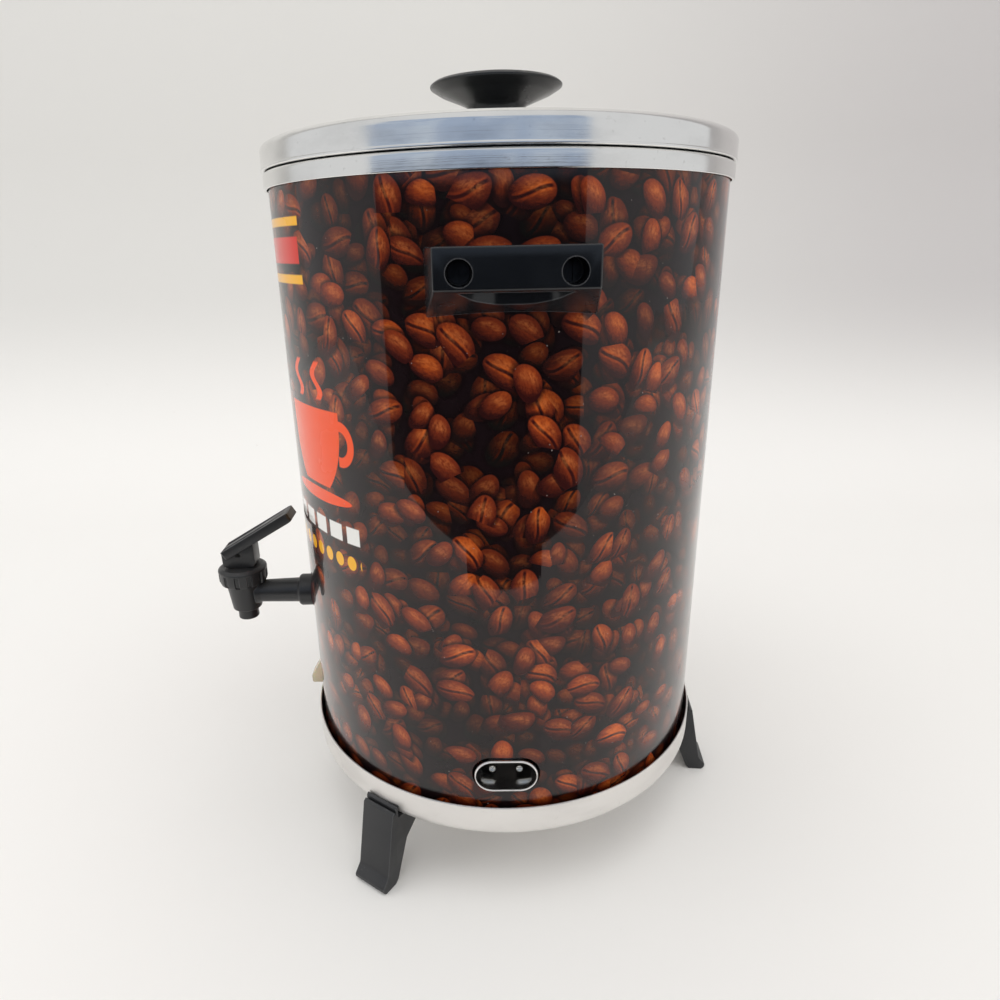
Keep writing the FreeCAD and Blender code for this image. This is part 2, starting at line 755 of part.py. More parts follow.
bracketPart = fuseShapes("inlet_bracket", [bracket.removeSplitter()])
bracketPart.Placement = inletPlace
keep(bracketPart, "inlet_bracket")

# Ready light: a clear wedge in the jacket with its lamp behind it
lightOut = (s.jacket_radius + s.light_proud).value
lightLow = (s.light_height - s.light_tall / 2).value
lightHigh = (s.light_height + s.light_tall / 2).value
lightIn = (s.jacket_radius - s.jacket_wall).value
wedge = Part.makePolygon([
    Vector(lightIn - 2.0, 0, lightLow),
    Vector(lightOut, 0, lightLow),
    Vector(lightOut, 0, lightLow + s.light_tall.value * 0.3),
    Vector(lightIn + 2.0, 0, lightHigh),
    Vector(lightIn - 2.0, 0, lightHigh),
    Vector(lightIn - 2.0, 0, lightLow),
])
lens = Part.Face(wedge).extrude(Vector(0, s.light_width.value, 0))
lens.translate(Vector(0, -s.light_width.value / 2, 0))
stop = Part.makeBox(1.4, s.light_width.value + 4, s.light_tall.value + 4)
stop.translate(Vector(lightIn - 2.2, -s.light_width.value / 2 - 2, lightLow - 2))
lampBore = rod(s.lamp_radius.value + 0.2, 7.0, Vector(lightIn - 3.0, 0, s.light_height.value - 2.0), out)
lens = lens.fuse(stop).removeSplitter().cut(lampBore)
lensPart = fuseShapes("light_lens", [lens])
lensPart.Placement = Placement(Vector(0, 0, 0), around(frontAzimuth))
keep(lensPart, "light_lens")
lamp = rod(s.lamp_radius, 16.0, Vector(lightIn - 12.6, 0, s.light_height.value - 2.0), out)
lampTip = [edge for edge in lamp.Edges if edge.BoundBox.XMin > lightIn + 3.0]
lamp = lamp.makeFillet(s.lamp_radius.value * 0.9, lampTip)
lampPart = fuseShapes("light_lamp", [lamp])
lampPart.Placement = Placement(Vector(0, 0, 0), around(frontAzimuth))
keep(lampPart, "light_lamp")

# Heating under the tank: a ring element, a thermostat and the stud that clamps the pan
ringHeight = tankUnder - s.heater_tube.value - 0.1
ringRadius, tubeRadius = s.heater_ring.value, s.heater_tube.value
heaterRing = Part.makeTorus(ringRadius, tubeRadius, Vector(0, 0, ringHeight), up, 0, 360, 320)
heaterRing.rotate(Vector(0, 0, 0), up, 20)
ends = []
for turn in (20, 340):
    place = around(turn).multVec(Vector(s.heater_ring.value, 0, ringHeight))
    ends.append(rod(1.4, 12.0, place, around(turn).multVec(Vector(0, -1 if turn == 20 else 1, 0))))
keep(fuseShapes("heater", [heaterRing.fuse(ends)]), "heater")
thermostatAngle = 150
thermostatTop = tankUnder - 0.1
placeThermostat = around(thermostatAngle).multVec(Vector(s.thermostat_place.value, 0, thermostatTop))
thermostat = rod(s.thermostat_radius, s.thermostat_tall, placeThermostat, -up)
for side in (-1, 1):
    tab = Part.makeBox(5.0, 0.8, 6.0)
    tab.translate(Vector(-2.5, side * 3.6 - 0.4, -s.thermostat_tall.value - 6.0))
    tab.Placement = Placement(placeThermostat, around(thermostatAngle)).multiply(tab.Placement)
    thermostat = thermostat.fuse(tab)
keep(fuseShapes("thermostat", [thermostat]), "thermostat")
wellUnder = (wellFloor - s.tank_wall).value
studLow = (s.pan_floor - s.stud_tail).value
studLong = wellUnder - studLow
stud = rod(s.stud_radius, studLong, up * studLow, up)
studFoot = rod(s.stud_radius.value * 3, 1.6, Vector(0, 0, wellUnder - 1.6), up)
keep(fuseShapes("centre_stud", [stud.fuse(studFoot)]), "centre_stud")
nutCorner = s.nut_across.value / 2 / math.cos(math.pi / 6)
hexWire = Part.makePolygon([around(60 * i).multVec(Vector(nutCorner, 0, 0)) for i in range(7)])
nut = Part.Face(hexWire).extrude(up * 5.0)
nut.translate(Vector(0, 0, s.pan_floor.value - 6.4))
spacer = rod(11.0, 1.4, Vector(0, 0, s.pan_floor.value - 1.4), up)
nut = nut.fuse(spacer).cut(rod(s.stud_radius, studLong, up * studLow, up))
keep(fuseShapes("centre_nut", [nut]), "centre_nut")

# Tap body: a hollow cone with a nozzle, a threaded neck and a side tube through the jacket
tapAxis = Vector(0, -s.tap_reach.value, 0)
bodyTop = s.tap_height + 6.4
coneLow = bodyTop - s.tap_cone
neckTop = bodyTop + s.tap_neck_rise
nozzleLow = coneLow - s.nozzle_length
neckRadius = s.tap_top_radius + 1.1
barrel = revolved("tap_barrel", [
    (0, nozzleLow),
    (s.nozzle_radius, nozzleLow),
    (s.nozzle_radius, coneLow),
    (s.tap_low_radius, coneLow),
    (s.tap_top_radius, bodyTop),
    (neckRadius, bodyTop),
    (neckRadius, neckTop),
    (0, neckTop),
])
barrel.Placement = Placement(tapAxis, Rotation())
tubeLong = s.tap_reach - s.shank_end
collarOuter = s.tap_reach - s.jacket_radius - s.gasket_wall - s.seat_gap
collarInner = collarOuter - s.collar_length
tube = revolved("tap_tube", [
    (0, 0),
    (s.tube_radius, 0),
    (s.tube_end_radius, collarInner),
    (s.collar_radius - 0.6, collarInner),
    (s.collar_radius, collarInner + 0.8),
    (s.collar_radius, collarOuter),
    (s.shank_radius, collarOuter),
    (s.shank_radius, tubeLong),
    (0, tubeLong),
])
tube.Placement = Placement(Vector(0, -s.tap_reach.value, s.tap_height.value), Rotation(up, Vector(0, 1, 0)))
solidTap = doc.addObject("Part::MultiFuse", "tap_solid")
solidTap.Shapes = [barrel, tube]
chamber = revolved("tap_chamber", [
    (0, nozzleLow - 1.0),
    (s.nozzle_bore, nozzleLow - 1.0),
    (s.nozzle_bore, s.seat_height),
    (s.chamber_radius, s.seat_height),
    (s.chamber_radius, neckTop + 1.0),
    (0, neckTop + 1.0),
])
chamber.Placement = Placement(tapAxis, Rotation())
duct = doc.addObject("Part::Cylinder", "tap_duct")
bind(duct, "Radius", s.nozzle_bore)
bind(duct, "Height", tubeLong + 1.0)
duct.Placement = tube.Placement
hollow = doc.addObject("Part::MultiFuse", "tap_hollow")
hollow.Shapes = [chamber, duct]
tapBody = doc.addObject("Part::Cut", "tap_body")
tapBody.Base = solidTap
tapBody.Tool = hollow
doc.recompute()
keep(tapBody, "tap_body")

# Gaskets, washer and nut that hold the tap in the jacket and the tank
frontTurn = Rotation(up, Vector(0, 1, 0))


def ringOnShank(name, outer, thickness, distance):
    """A flat ring on the tap's shank with its outer face at a distance from the urn's axis."""
    inner = s.shank_radius + s.screw_play
    body = revolved(name, [(inner, 0), (outer, 0), (outer, thickness), (inner, thickness)])
    body.Placement = Placement(Vector(0, -plain(distance), s.tap_height.value), frontTurn)
    return body


outerSeat = s.jacket_radius + s.gasket_wall + 0.15
gasketOut = ringOnShank("tap_gasket_outer", s.gasket_radius, s.gasket_wall, outerSeat)
keep(gasketOut, "tap_gasket_outer")
wallSag = s.tank_bore - root(s.tank_bore * s.tank_bore - s.gasket_radius * s.gasket_radius)
innerSeat = s.tank_bore - wallSag - 0.1
gasketIn = ringOnShank("tap_gasket_inner", s.gasket_radius, s.gasket_wall, innerSeat)
keep(gasketIn, "tap_gasket_inner")
nutBody = newBody("tap_nut")
sketch = newSketch(nutBody, "tap_nut_hex", "XY_Plane")
cornerReachNut = s.tap_nut_across / (2 * math.cos(math.pi / 6))
hexPoints = []
for i in range(6):
    turn = math.radians(60 * i)
    hexPoints.append((cornerReachNut * round(math.cos(turn), 9), cornerReachNut * round(math.sin(turn), 9)))
drawOutline(sketch, hexPoints)
padded(nutBody, sketch, s.tap_nut_wall)
sketch = newSketch(nutBody, "tap_nut_bore", "XY_Plane")
drawCircle(sketch, 0, 0, s.shank_radius + 0.02)
pocketed(nutBody, sketch, s.tap_nut_wall, reverse=True)
nutPlace = innerSeat - s.gasket_wall - 0.05
nutBody.Placement = Placement(Vector(0, -nutPlace.value, s.tap_height.value), frontTurn)
keep(nutBody, "tap_nut")

# Bonnet: a slotted cap on the neck that guides the stem
bonnetTop = neckTop + s.seat_gap + s.bonnet_plate
bonnetLow = bonnetTop - s.bonnet_tall
bonnet = revolved("tap_bonnet", [
    (s.stem_radius + s.bore_play, bonnetTop),
    (s.stem_radius + s.bore_play, neckTop + s.seat_gap),
    (neckRadius + s.bore_play, neckTop + s.seat_gap),
    (neckRadius + s.bore_play, bonnetLow),
    (s.bonnet_radius - 0.8, bonnetLow),
    (s.bonnet_radius, bonnetTop - 2.0),
    (s.bonnet_radius, bonnetTop - 1.6),
    (s.bonnet_radius - 2.2, bonnetTop),
])
sketch = newSketch(bonnet, "bonnet_slot", "XZ_Plane")
slotFloor = s.bonnet_radius - s.bonnet_slot_depth
drawOutline(sketch, [
    (slotFloor - 0.4, bonnetLow - 1.0),
    (s.bonnet_radius + 1.0, bonnetLow - 1.0),
    (s.bonnet_radius + 1.0, bonnetTop - 3.0),
    (slotFloor, bonnetTop - 3.0),
])
slotCut = pocketed(bonnet, sketch, s.bonnet_slot_width, middle=True)
patterned(bonnet, slotCut, s.bonnet_slots)
bonnet.Placement = Placement(tapAxis, Rotation())
keep(bonnet, "tap_bonnet")

# Valve stem with its tongue and eye, the seat cup and the closing spring
pivotHeight = (bonnetTop + s.pivot_gap + s.pivot_rise).value
cupLow = s.seat_height.value
cupTop = cupLow + s.cup_tall.value
stemLow = cupTop - 2.0
stem = rod(s.stem_radius, pivotHeight - 3.0 - stemLow, tapAxis + up * stemLow, up)
flange = rod(s.stem_radius.value + 2.4, 1.2, tapAxis + up * cupTop, up)
tongue = Part.makeBox(s.stem_tongue.value, 5.0, 7.0)
tongue.translate(tapAxis + Vector(-s.stem_tongue.value / 2, -2.5, pivotHeight - 4.4))
slab = rod(s.stem_radius, 7.0, tapAxis + up * (pivotHeight - 4.4), up)
tongue = tongue.common(slab)
eye = rod(s.lever_pin_radius.value + s.bore_play.value, 20, tapAxis + Vector(-10, 0, pivotHeight), out)
stemShape = stem.fuse([flange, tongue]).removeSplitter().cut(eye)
keep(fuseShapes("tap_stem", [stemShape]), "tap_stem")
cup = rod(s.cup_radius, s.cup_tall, tapAxis + up * cupLow, up)
cupEdges = [edge for edge in cup.Edges if edge.BoundBox.ZMax < cupLow + 0.01]
cup = cup.makeFillet(1.6, cupEdges)
cup = cup.cut(rod(s.stem_radius, 10, tapAxis + up * stemLow, up))
keep(fuseShapes("tap_cup", [cup]), "tap_cup")
springLow = cupTop + 1.2 + s.spring_wire.value + 0.1
springHigh = (neckTop + s.seat_gap).value - s.spring_wire.value - 0.1
springTall = springHigh - springLow
helix = Part.makeHelix(springTall / s.spring_turns.value, springTall, s.spring_radius.value)
wire = Part.Wire(helix.Edges)
coilStart = Vector(s.spring_radius.value, 0, 0)
section = Part.Wire([Part.makeCircle(s.spring_wire.value, coilStart, Vector(0, 1, 0))])
spring = wire.makePipeShell([section], True, True)
spring.translate(tapAxis + up * springLow)
keep(fuseShapes("tap_spring", [spring]), "tap_spring")

# Lever: a cam block on the bonnet and a ribbed paddle that leans back over the urn
blockHalf = s.lever_block_half.value
rise = s.pivot_rise.value
camArm = s.lever_cam.value
camTurn = math.radians(s.lever_open.value)


def camPoint(turn):
    """The point of the block's foot that touches the bonnet once the lever has turned so far."""
    drop = rise + camArm * turn
    return Vector(0, -(drop * math.sin(turn) + camArm * math.cos(turn)),
                  -drop * math.cos(turn) + camArm * math.sin(turn))


slope = math.radians(s.lever_slope.value)
along = Vector(0, math.cos(slope), math.sin(slope))
across = Vector(0, -math.sin(slope), math.cos(slope))
camStart, camMiddle, camEnd = camPoint(0), camPoint(camTurn / 2), camPoint(camTurn)
paddleRoot = along * -s.paddle_back.value + across * s.paddle_lift.value
blockCorner = Vector(0, blockHalf, -rise + 2.6)
blockTop = paddleRoot + along * (s.paddle_back.value + blockHalf + 2.0)
footArc = Part.Arc(Vector(0, blockHalf - 2.6, -rise), Vector(0, blockHalf - 0.76, -rise + 0.76), blockCorner)
profile = [
    Part.makeLine(Vector(0, blockHalf - 2.6, -rise), camStart),
    Part.Arc(camStart, camMiddle, camEnd).toShape(),
    Part.makeLine(camEnd, paddleRoot),
    Part.makeLine(paddleRoot, blockTop),
    Part.makeLine(blockTop, Vector(0, blockHalf, 1.5)),
    Part.makeLine(Vector(0, blockHalf, 1.5), blockCorner),
    footArc.toShape(),
]
blockWide = s.lever_block_width.value
camBlock = Part.Face(Part.Wire(Part.__sortEdges__(profile))).extrude(out * blockWide)
camBlock.translate(out * (-blockWide / 2))
slotWide = s.stem_tongue.value + 0.5
stemSwing = rise * math.tan(camTurn) + s.stem_radius.value / math.cos(camTurn) + 0.4
eyeSwing = math.hypot(s.stem_radius.value, s.stem_radius.value + 0.1) + 0.3
stemSlot = Part.makeBox(slotWide, stemSwing + s.stem_radius.value + 0.4, rise + 3.0)
stemSlot.translate(Vector(-slotWide / 2, -stemSwing, -rise - 3.0))
clear = rod(eyeSwing, slotWide, Vector(-slotWide / 2, 0, 0), out)
paddleWide = s.paddle_width.value
paddleWall = s.paddle_wall.value
paddleLong = s.paddle_length.value
paddle = Part.makeBox(paddleWide, paddleLong, paddleWall)
tipEdges = [edge for edge in paddle.Edges if edge.BoundBox.YMin > paddleLong - 0.01
            and edge.BoundBox.XLength < 0.01]
paddle = paddle.makeChamfer(2.0, tipEdges)
groove = s.paddle_groove.value
for place, breadth in ((1.3, 3.4), (paddleWide / 2 - 1.9, 3.8), (paddleWide - 1.3 - 3.4, 3.4)):
    channel = Part.makeBox(breadth, paddleLong - 3.6, groove + 1)
    channel.translate(Vector(place, 1.8, paddleWall - groove))
    paddle = paddle.cut(channel)
paddle.translate(Vector(-paddleWide / 2, 0, 0))
paddle.Placement = Placement(paddleRoot, Rotation(out, s.lever_slope.value)).multiply(paddle.Placement)
pinBore = rod(s.lever_pin_radius, paddleWide * 2, out * -paddleWide, out)
lever = camBlock.fuse(paddle).removeSplitter().cut(stemSlot).cut(clear).cut(pinBore)
lever.translate(tapAxis + up * pivotHeight)
keep(fuseShapes("tap_lever", [lever]), "tap_lever")
leverPin = rod(s.lever_pin_radius, blockWide, tapAxis + Vector(-blockWide / 2, 0, pivotHeight), out)
keep(fuseShapes("lever_pin", [leverPin]), "lever_pin")

# Lid: a low crown, a band as wide as the rim, and a skirt that drops into the tank
lidLow = s.rim_height + s.seat_gap
lidTop = lidLow + s.lid_band
crown = lidTop + s.lid_crown
skirtOuter = s.tank_bore - s.skirt_play
skirtLow = s.rim_height - s.skirt_drop
lidInner = s.lid_radius - s.lid_wall
lid = revolved("lid", [
    (s.knob_screw_radius + s.screw_play, crown),
    (s.lid_flat, crown),
    (s.lid_radius - 3.0, lidTop),
    (s.lid_radius, lidTop - 2.6),
    (s.lid_radius, lidLow),
    (skirtOuter, lidLow),
    (skirtOuter, skirtLow),
    (skirtOuter - s.lid_wall, skirtLow),
    (skirtOuter - s.lid_wall, lidLow + s.lid_wall),
    (lidInner, lidLow + s.lid_wall),
    (lidInner, lidTop - 3.0),
    (s.lid_radius - 3.4, lidTop - s.lid_wall),
    (s.lid_flat, crown - s.lid_wall),
    (s.knob_screw_radius + s.screw_play, crown - s.lid_wall),
])
keep(lid, "lid")

# Knob: a mushroom with a hollow underside, on a waisted stem, held by a screw from below
knobTop = crown + s.knob_tall
knobRim = knobTop - s.knob_rim
knob = revolved("knob", [
    (0, knobTop),
    (s.knob_radius * 0.42, knobTop - 0.7),
    (s.knob_radius * 0.76, knobTop - 2.3),
    (s.knob_radius * 0.96, knobRim + 1.2),
    (s.knob_radius, knobRim),
    (s.knob_radius * 0.97, knobRim - 1.4),
    (s.knob_radius * 0.72, knobRim - 2.0),
    (s.knob_waist + 2.6, knobRim - 3.6),
    (s.knob_waist, knobRim - 7.0),
    (s.knob_waist + 0.6, crown + 6.0),
    (s.knob_foot, crown),
    (s.knob_screw_radius, crown),
    (s.knob_screw_radius, crown + 14.0),
    (0, crown + 14.0),
])
keep(knob, "knob")
lidUnder = (crown - s.lid_wall).value
knobHeadTall = 2.6
knobScrewBase = Vector(0, 0, lidUnder - knobHeadTall)
knobScrew = turnedScrew(5.0, s.knob_screw_radius, knobHeadTall, s.lid_wall.value + 13.5, knobScrewBase, up)
keep(fuseShapes("knob_screw", [knobScrew]), "knob_screw")

# Pump: a bell that stands in the well, a loose washer in its hub, and the riser tube
bellLow = wellFloor + s.seat_gap
hubFloor = bellLow + 4.0
chamberLow = hubFloor + 1.5
chamberTop = chamberLow + 0.2 + s.washer_wall + s.washer_play + 0.2
hubTop = chamberTop + s.pump_hub
hubOuter = s.pump_tube_radius + 2.2
tubeFit = s.pump_tube_radius + 0.01
bell = revolved("pump_base", [
    (3.0, hubFloor),
    (3.0, chamberLow),
    (s.washer_radius + 0.3, chamberLow),
    (s.washer_radius + 0.3, chamberTop),
    (tubeFit, chamberTop),
    (tubeFit, hubTop),
    (hubOuter, hubTop),
    (hubOuter, chamberTop + 1.0),
    (hubOuter + 3.0, chamberTop - 1.0),
    (s.pump_radius - 1.5, bellLow + 4.2),
    (s.pump_radius, bellLow + 2.4),
    (s.pump_radius, bellLow),
    (s.pump_radius - s.pump_wall, bellLow),
    (s.pump_radius - s.pump_wall, bellLow + 2.0),
    (s.pump_radius - 2.4, bellLow + 3.1),
    (hubOuter + 2.6, hubFloor + 1.0),
    (hubOuter + 1.0, hubFloor),
])
sketch = newSketch(bell, "bell_notch", "XZ_Plane")
drawOutline(sketch, [
    (s.pump_radius - 4.0, bellLow - 1.0),
    (s.pump_radius + 2.0, bellLow - 1.0),
    (s.pump_radius + 2.0, bellLow + 1.5),
    (s.pump_radius - 4.0, bellLow + 1.5),
])
notch = pocketed(bell, sketch, 4.0, middle=True)
patterned(bell, notch, 6)
keep(bell, "pump_base")
washer = revolved("pump_washer", [
    (1.2, chamberLow + 0.2),
    (s.washer_radius, chamberLow + 0.2),
    (s.washer_radius, chamberLow + 0.2 + s.washer_wall),
    (1.2, chamberLow + 0.2 + s.washer_wall),
])
keep(washer, "pump_washer")
tubeInner = s.pump_tube_radius - s.pump_tube_wall
stopTop = s.basket_floor - s.seat_gap
stopLow = stopTop - 2.4
riser = revolved("pump_tube", [
    (tubeInner, chamberTop + 1.5),
    (s.pump_tube_radius, chamberTop + 1.5),
    (s.pump_tube_radius, stopLow),
    (s.pump_tube_radius + 2.6, stopLow + 0.8),
    (s.pump_tube_radius + 2.6, stopTop),
    (s.pump_tube_radius, stopTop),
    (s.pump_tube_radius, s.pump_tube_top),
    (tubeInner, s.pump_tube_top),
])
keep(riser, "pump_tube")


def drillRings(body, name, rings, radius, reach):
    """Rings of round holes through a flat floor; each ring is (distance, count)."""
    for index, (distance, count) in enumerate(rings):
        sketch = newSketch(body, name + "_" + str(index + 1), "XY_Plane")
        drawCircle(sketch, distance, 0, radius)
        hole = pocketed(body, sketch, reach, reverse=True)
        patterned(body, hole, count)


# Basket: a tapered cup with a perforated floor and a sleeve round the riser
basketTop = s.basket_floor + s.basket_tall
basketLow = s.basket_radius - s.basket_taper
sleeveOuter = s.basket_sleeve + s.basket_wall
basket = revolved("basket", [
    (s.basket_sleeve, s.basket_floor),
    (basketLow, s.basket_floor),
    (s.basket_radius, basketTop - 2.0),
    (s.basket_radius + 2.0, basketTop - 1.6),
    (s.basket_radius + 2.0, basketTop),
    (s.basket_radius - s.basket_wall, basketTop),
    (basketLow - s.basket_wall, s.basket_floor + s.basket_wall),
    (sleeveOuter, s.basket_floor + s.basket_wall),
    (sleeveOuter, basketTop - 3.0),
    (s.basket_sleeve, basketTop - 3.0),
])
basketRings = [(basketLow * 0.3, 8), (basketLow * 0.55, 14), (basketLow * 0.8, 20)]
drillRings(basket, "basket_holes", basketRings, s.basket_hole, s.basket_floor + 5.0)
keep(basket, "basket")

# Spreader: the perforated cover that lies on the basket's rim
spreaderLow = basketTop + s.seat_gap
spreader = revolved("spreader", [
    (s.basket_sleeve, spreaderLow),
    (s.basket_radius + 1.0, spreaderLow),
    (s.basket_radius + 2.0, spreaderLow + 0.6),
    (s.basket_radius + 2.0, spreaderLow + 4.0),
    (s.basket_radius + 1.1, spreaderLow + 4.0),
    (s.basket_radius + 1.1, spreaderLow + s.basket_wall),
    (s.basket_sleeve + 3.0, spreaderLow + s.basket_wall),
    (s.basket_sleeve + 1.2, spreaderLow + 3.6),
    (s.basket_sleeve, spreaderLow + 3.6),
])
spreaderRings = [(s.basket_radius * 0.25, 6), (s.basket_radius * 0.5, 12), (s.basket_radius * 0.78, 18)]
drillRings(spreader, "spreader_holes", spreaderRings, s.spreader_hole, basketTop + 5.0)
keep(spreader, "spreader")

doc.recompute()
for thing in doc.Objects:
    if "Invalid" in thing.State or "Error" in thing.State:
        raise RuntimeError(thing.Label + " failed: " + str(thing.State))
for thing in nodes:
    if thing.Shape.isNull() or not thing.Shape.isValid():
        raise RuntimeError(thing.Label + " has no valid shape")
for thing in nodes:
    thing.Shape.exportStep("parts/" + thing.Label + ".step")
print(len(nodes), "sub-parts written")
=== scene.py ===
import math

import bmesh
import bpy
from mathutils import Matrix, Vector


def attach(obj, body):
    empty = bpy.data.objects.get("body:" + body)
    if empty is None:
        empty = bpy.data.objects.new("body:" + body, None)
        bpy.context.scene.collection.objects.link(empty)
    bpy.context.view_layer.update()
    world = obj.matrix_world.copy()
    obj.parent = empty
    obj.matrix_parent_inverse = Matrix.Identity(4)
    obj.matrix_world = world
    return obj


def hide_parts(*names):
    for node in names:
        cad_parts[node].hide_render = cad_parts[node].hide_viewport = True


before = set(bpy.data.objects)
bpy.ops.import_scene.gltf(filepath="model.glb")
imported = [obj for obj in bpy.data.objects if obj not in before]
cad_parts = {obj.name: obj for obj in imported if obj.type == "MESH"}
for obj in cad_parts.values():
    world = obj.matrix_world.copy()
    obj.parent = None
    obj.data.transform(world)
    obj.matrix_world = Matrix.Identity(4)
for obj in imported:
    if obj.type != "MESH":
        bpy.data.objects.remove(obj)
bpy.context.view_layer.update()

mm = 0.001

# Places that several pieces share, in millimetres above the floor or from the axis, and turns in degrees
urn = {"jacketRadius": 105.0, "tapHeight": 117.0, "tapReach": 146.0, "inletHeight": 72.3, "inletTurn": -2.1,
       "frontTurn": -90.0}


# Mesh helpers: outlines with round corners, turned pieces, extruded pieces
def roundOutline(points, closed=True, steps=5):
    out = []
    count = len(points)
    for i, point in enumerate(points):
        here = Vector(point[:2])
        radius = point[2] if len(point) > 2 else 0
        if radius <= 0 or (not closed and i in (0, count - 1)):
            out.append(here)
            continue
        before = Vector(points[i - 1][:2]) - here
        after = Vector(points[(i + 1) % count][:2]) - here
        half = before.angle(after) / 2
        reach = min(radius / math.tan(half), before.length * 0.49, after.length * 0.49)
        radius = reach * math.tan(half)
        middle = here + (before.normalized() + after.normalized()).normalized() * (radius / math.sin(half))
        start = here + before.normalized() * reach - middle
        turn = math.pi - 2 * half
        side = 1 if start.x * (here - middle).y - start.y * (here - middle).x > 0 else -1
        for k in range(steps + 1):
            angle = side * turn * k / steps
            c, s = math.cos(angle), math.sin(angle)
            out.append(middle + Vector((start.x * c - start.y * s, start.x * s + start.y * c)))
    return out


def newObject(name, mesh, body, sharp=32.0):
    piece = bpy.data.objects.new(name, mesh)
    bpy.context.scene.collection.objects.link(piece)
    mesh.update()
    mesh.shade_smooth()
    mesh.set_sharp_from_angle(angle=math.radians(sharp))
    if body:
        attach(piece, body)
    return piece


def fromBmesh(name, bm, body, sharp=32.0, scale=mm, place=Matrix()):
    bmesh.ops.remove_doubles(bm, verts=bm.verts, dist=1e-5)
    bmesh.ops.recalc_face_normals(bm, faces=bm.faces)
    bm.transform(Matrix.Scale(scale, 4) @ place)
    mesh = bpy.data.meshes.new(name)
    bm.to_mesh(mesh)
    bm.free()
    return newObject(name, mesh, body, sharp)


def latheInto(bm, outline, count=160, wave=None):
    # a turned ring of outline points (radius, height); wave changes the radius along the turn
    rings = []
    for point in outline:
        if abs(point[0]) < 1e-6:
            rings.append([bm.verts.new((0, 0, point[1]))])
            continue
        ring = []
        for k in range(count):
            angle = 2 * math.pi * k / count
            radius = point[0] if wave is None else wave(angle, point[0], point[1])
            ring.append(bm.verts.new((radius * math.cos(angle), radius * math.sin(angle), point[1])))
        rings.append(ring)
    total = len(rings)
    for i in range(total):
        a, b = rings[i], rings[(i + 1) % total]
        if len(a) == 1 and len(b) == 1:
            continue
        for k in range(count):
            n = (k + 1) % count
            if len(a) == 1:
                bm.faces.new((a[0], b[k], b[n]))
            elif len(b) == 1:
                bm.faces.new((a[k], a[n], b[0]))
            else:
                bm.faces.new((a[k], a[n], b[n], b[k]))


def lathe(name, points, body, count=160, wave=None, place=Matrix(), sharp=32.0, steps=5):
    bm = bmesh.new()
    latheInto(bm, roundOutline(points, steps=steps), count, wave)
    return fromBmesh(name, bm, body, sharp, mm, place)


def prismInto(bm, outline, low, high, axes):
    # an outline in the plane of the first two axes, drawn out along the third
    a, b, c = axes
    lower = [bm.verts.new(a * p[0] + b * p[1] + c * low) for p in outline]
    upper = [bm.verts.new(a * p[0] + b * p[1] + c * high) for p in outline]
    bm.faces.new(lower)
    bm.faces.new(upper[::-1])
    count = len(outline)
    for i in range(count):
        n = (i + 1) % count
        bm.faces.new((lower[i], lower[n], upper[n], upper[i]))


def bevelEdges(bm, width, angle=30.0, segments=3):
    # rounds every edge of a block that is sharper than the angle
    bmesh.ops.recalc_face_normals(bm, faces=bm.faces)
    limit = math.radians(angle)
    sharpEdges = [e for e in bm.edges if len(e.link_faces) == 2 and e.calc_face_angle(0) > limit]
    bmesh.ops.bevel(bm, geom=sharpEdges, offset=width, segments=segments, profile=0.5, affect="EDGES",
                    clamp_overlap=True)


def cutWith(piece, cutters):
    # exact booleans, baked into the piece's own mesh
    for cutter in cutters:
        modifier = piece.modifiers.new("cut", "BOOLEAN")
        modifier.operation = "DIFFERENCE"
        modifier.solver = "EXACT"
        modifier.object = cutter
    bpy.context.view_layer.update()
    graph = bpy.context.evaluated_depsgraph_get()
    mesh = bpy.data.meshes.new_from_object(piece.evaluated_get(graph))
    piece.modifiers.clear()
    piece.data = mesh
    mesh.shade_smooth()
    mesh.set_sharp_from_angle(angle=math.radians(32))
    for cutter in cutters:
        bpy.data.objects.remove(cutter)


def cutterPrism(outline, low, high, axes, place=Matrix()):
    bm = bmesh.new()
    prismInto(bm, outline, low, high, axes)
    bmesh.ops.recalc_face_normals(bm, faces=bm.faces)
    bm.transform(Matrix.Scale(mm, 4) @ place)
    mesh = bpy.data.meshes.new("cutter")
    bm.to_mesh(mesh)
    bm.free()
    cutter = bpy.data.objects.new("cutter", mesh)
    bpy.context.scene.collection.objects.link(cutter)
    return cutter


def turnZ(degrees):
    return Matrix.Rotation(math.radians(degrees), 4, "Z")


xAxis, yAxis, zAxis = Vector((1, 0, 0)), Vector((0, 1, 0)), Vector((0, 0, 1))


def circlePoints(x, y, radius, count=48):
    return [(x + radius * math.cos(2 * math.pi * k / count), y + radius * math.sin(2 * math.pi * k / count))
            for k in range(count)]


# Shader helpers: a field is a socket that can be added, multiplied and so on
class Field:
    def __init__(self, graph, socket):
        self.graph = graph
        self.socket = socket

    def math(self, operation, *others, clamp=False):
        return self.graph.math(operation, self, *others, clamp=clamp)

    def __add__(self, other):
        return self.math("ADD", other)

    def __sub__(self, other):
        return self.math("SUBTRACT", other)

    def __mul__(self, other):
        return self.math("MULTIPLY", other)

    def __truediv__(self, other):
        return self.math("DIVIDE", other)

    def __neg__(self):
        return self.math("MULTIPLY", -1.0)

    def __rsub__(self, other):
        return self.graph.math("SUBTRACT", other, self)

    def above(self, edge, soft):
        # 0 below the edge and 1 above it, with a soft step
        return self.graph.step(self, edge - soft, edge + soft)

    def below(self, edge, soft):
        return self.graph.step(self, edge + soft, edge - soft)


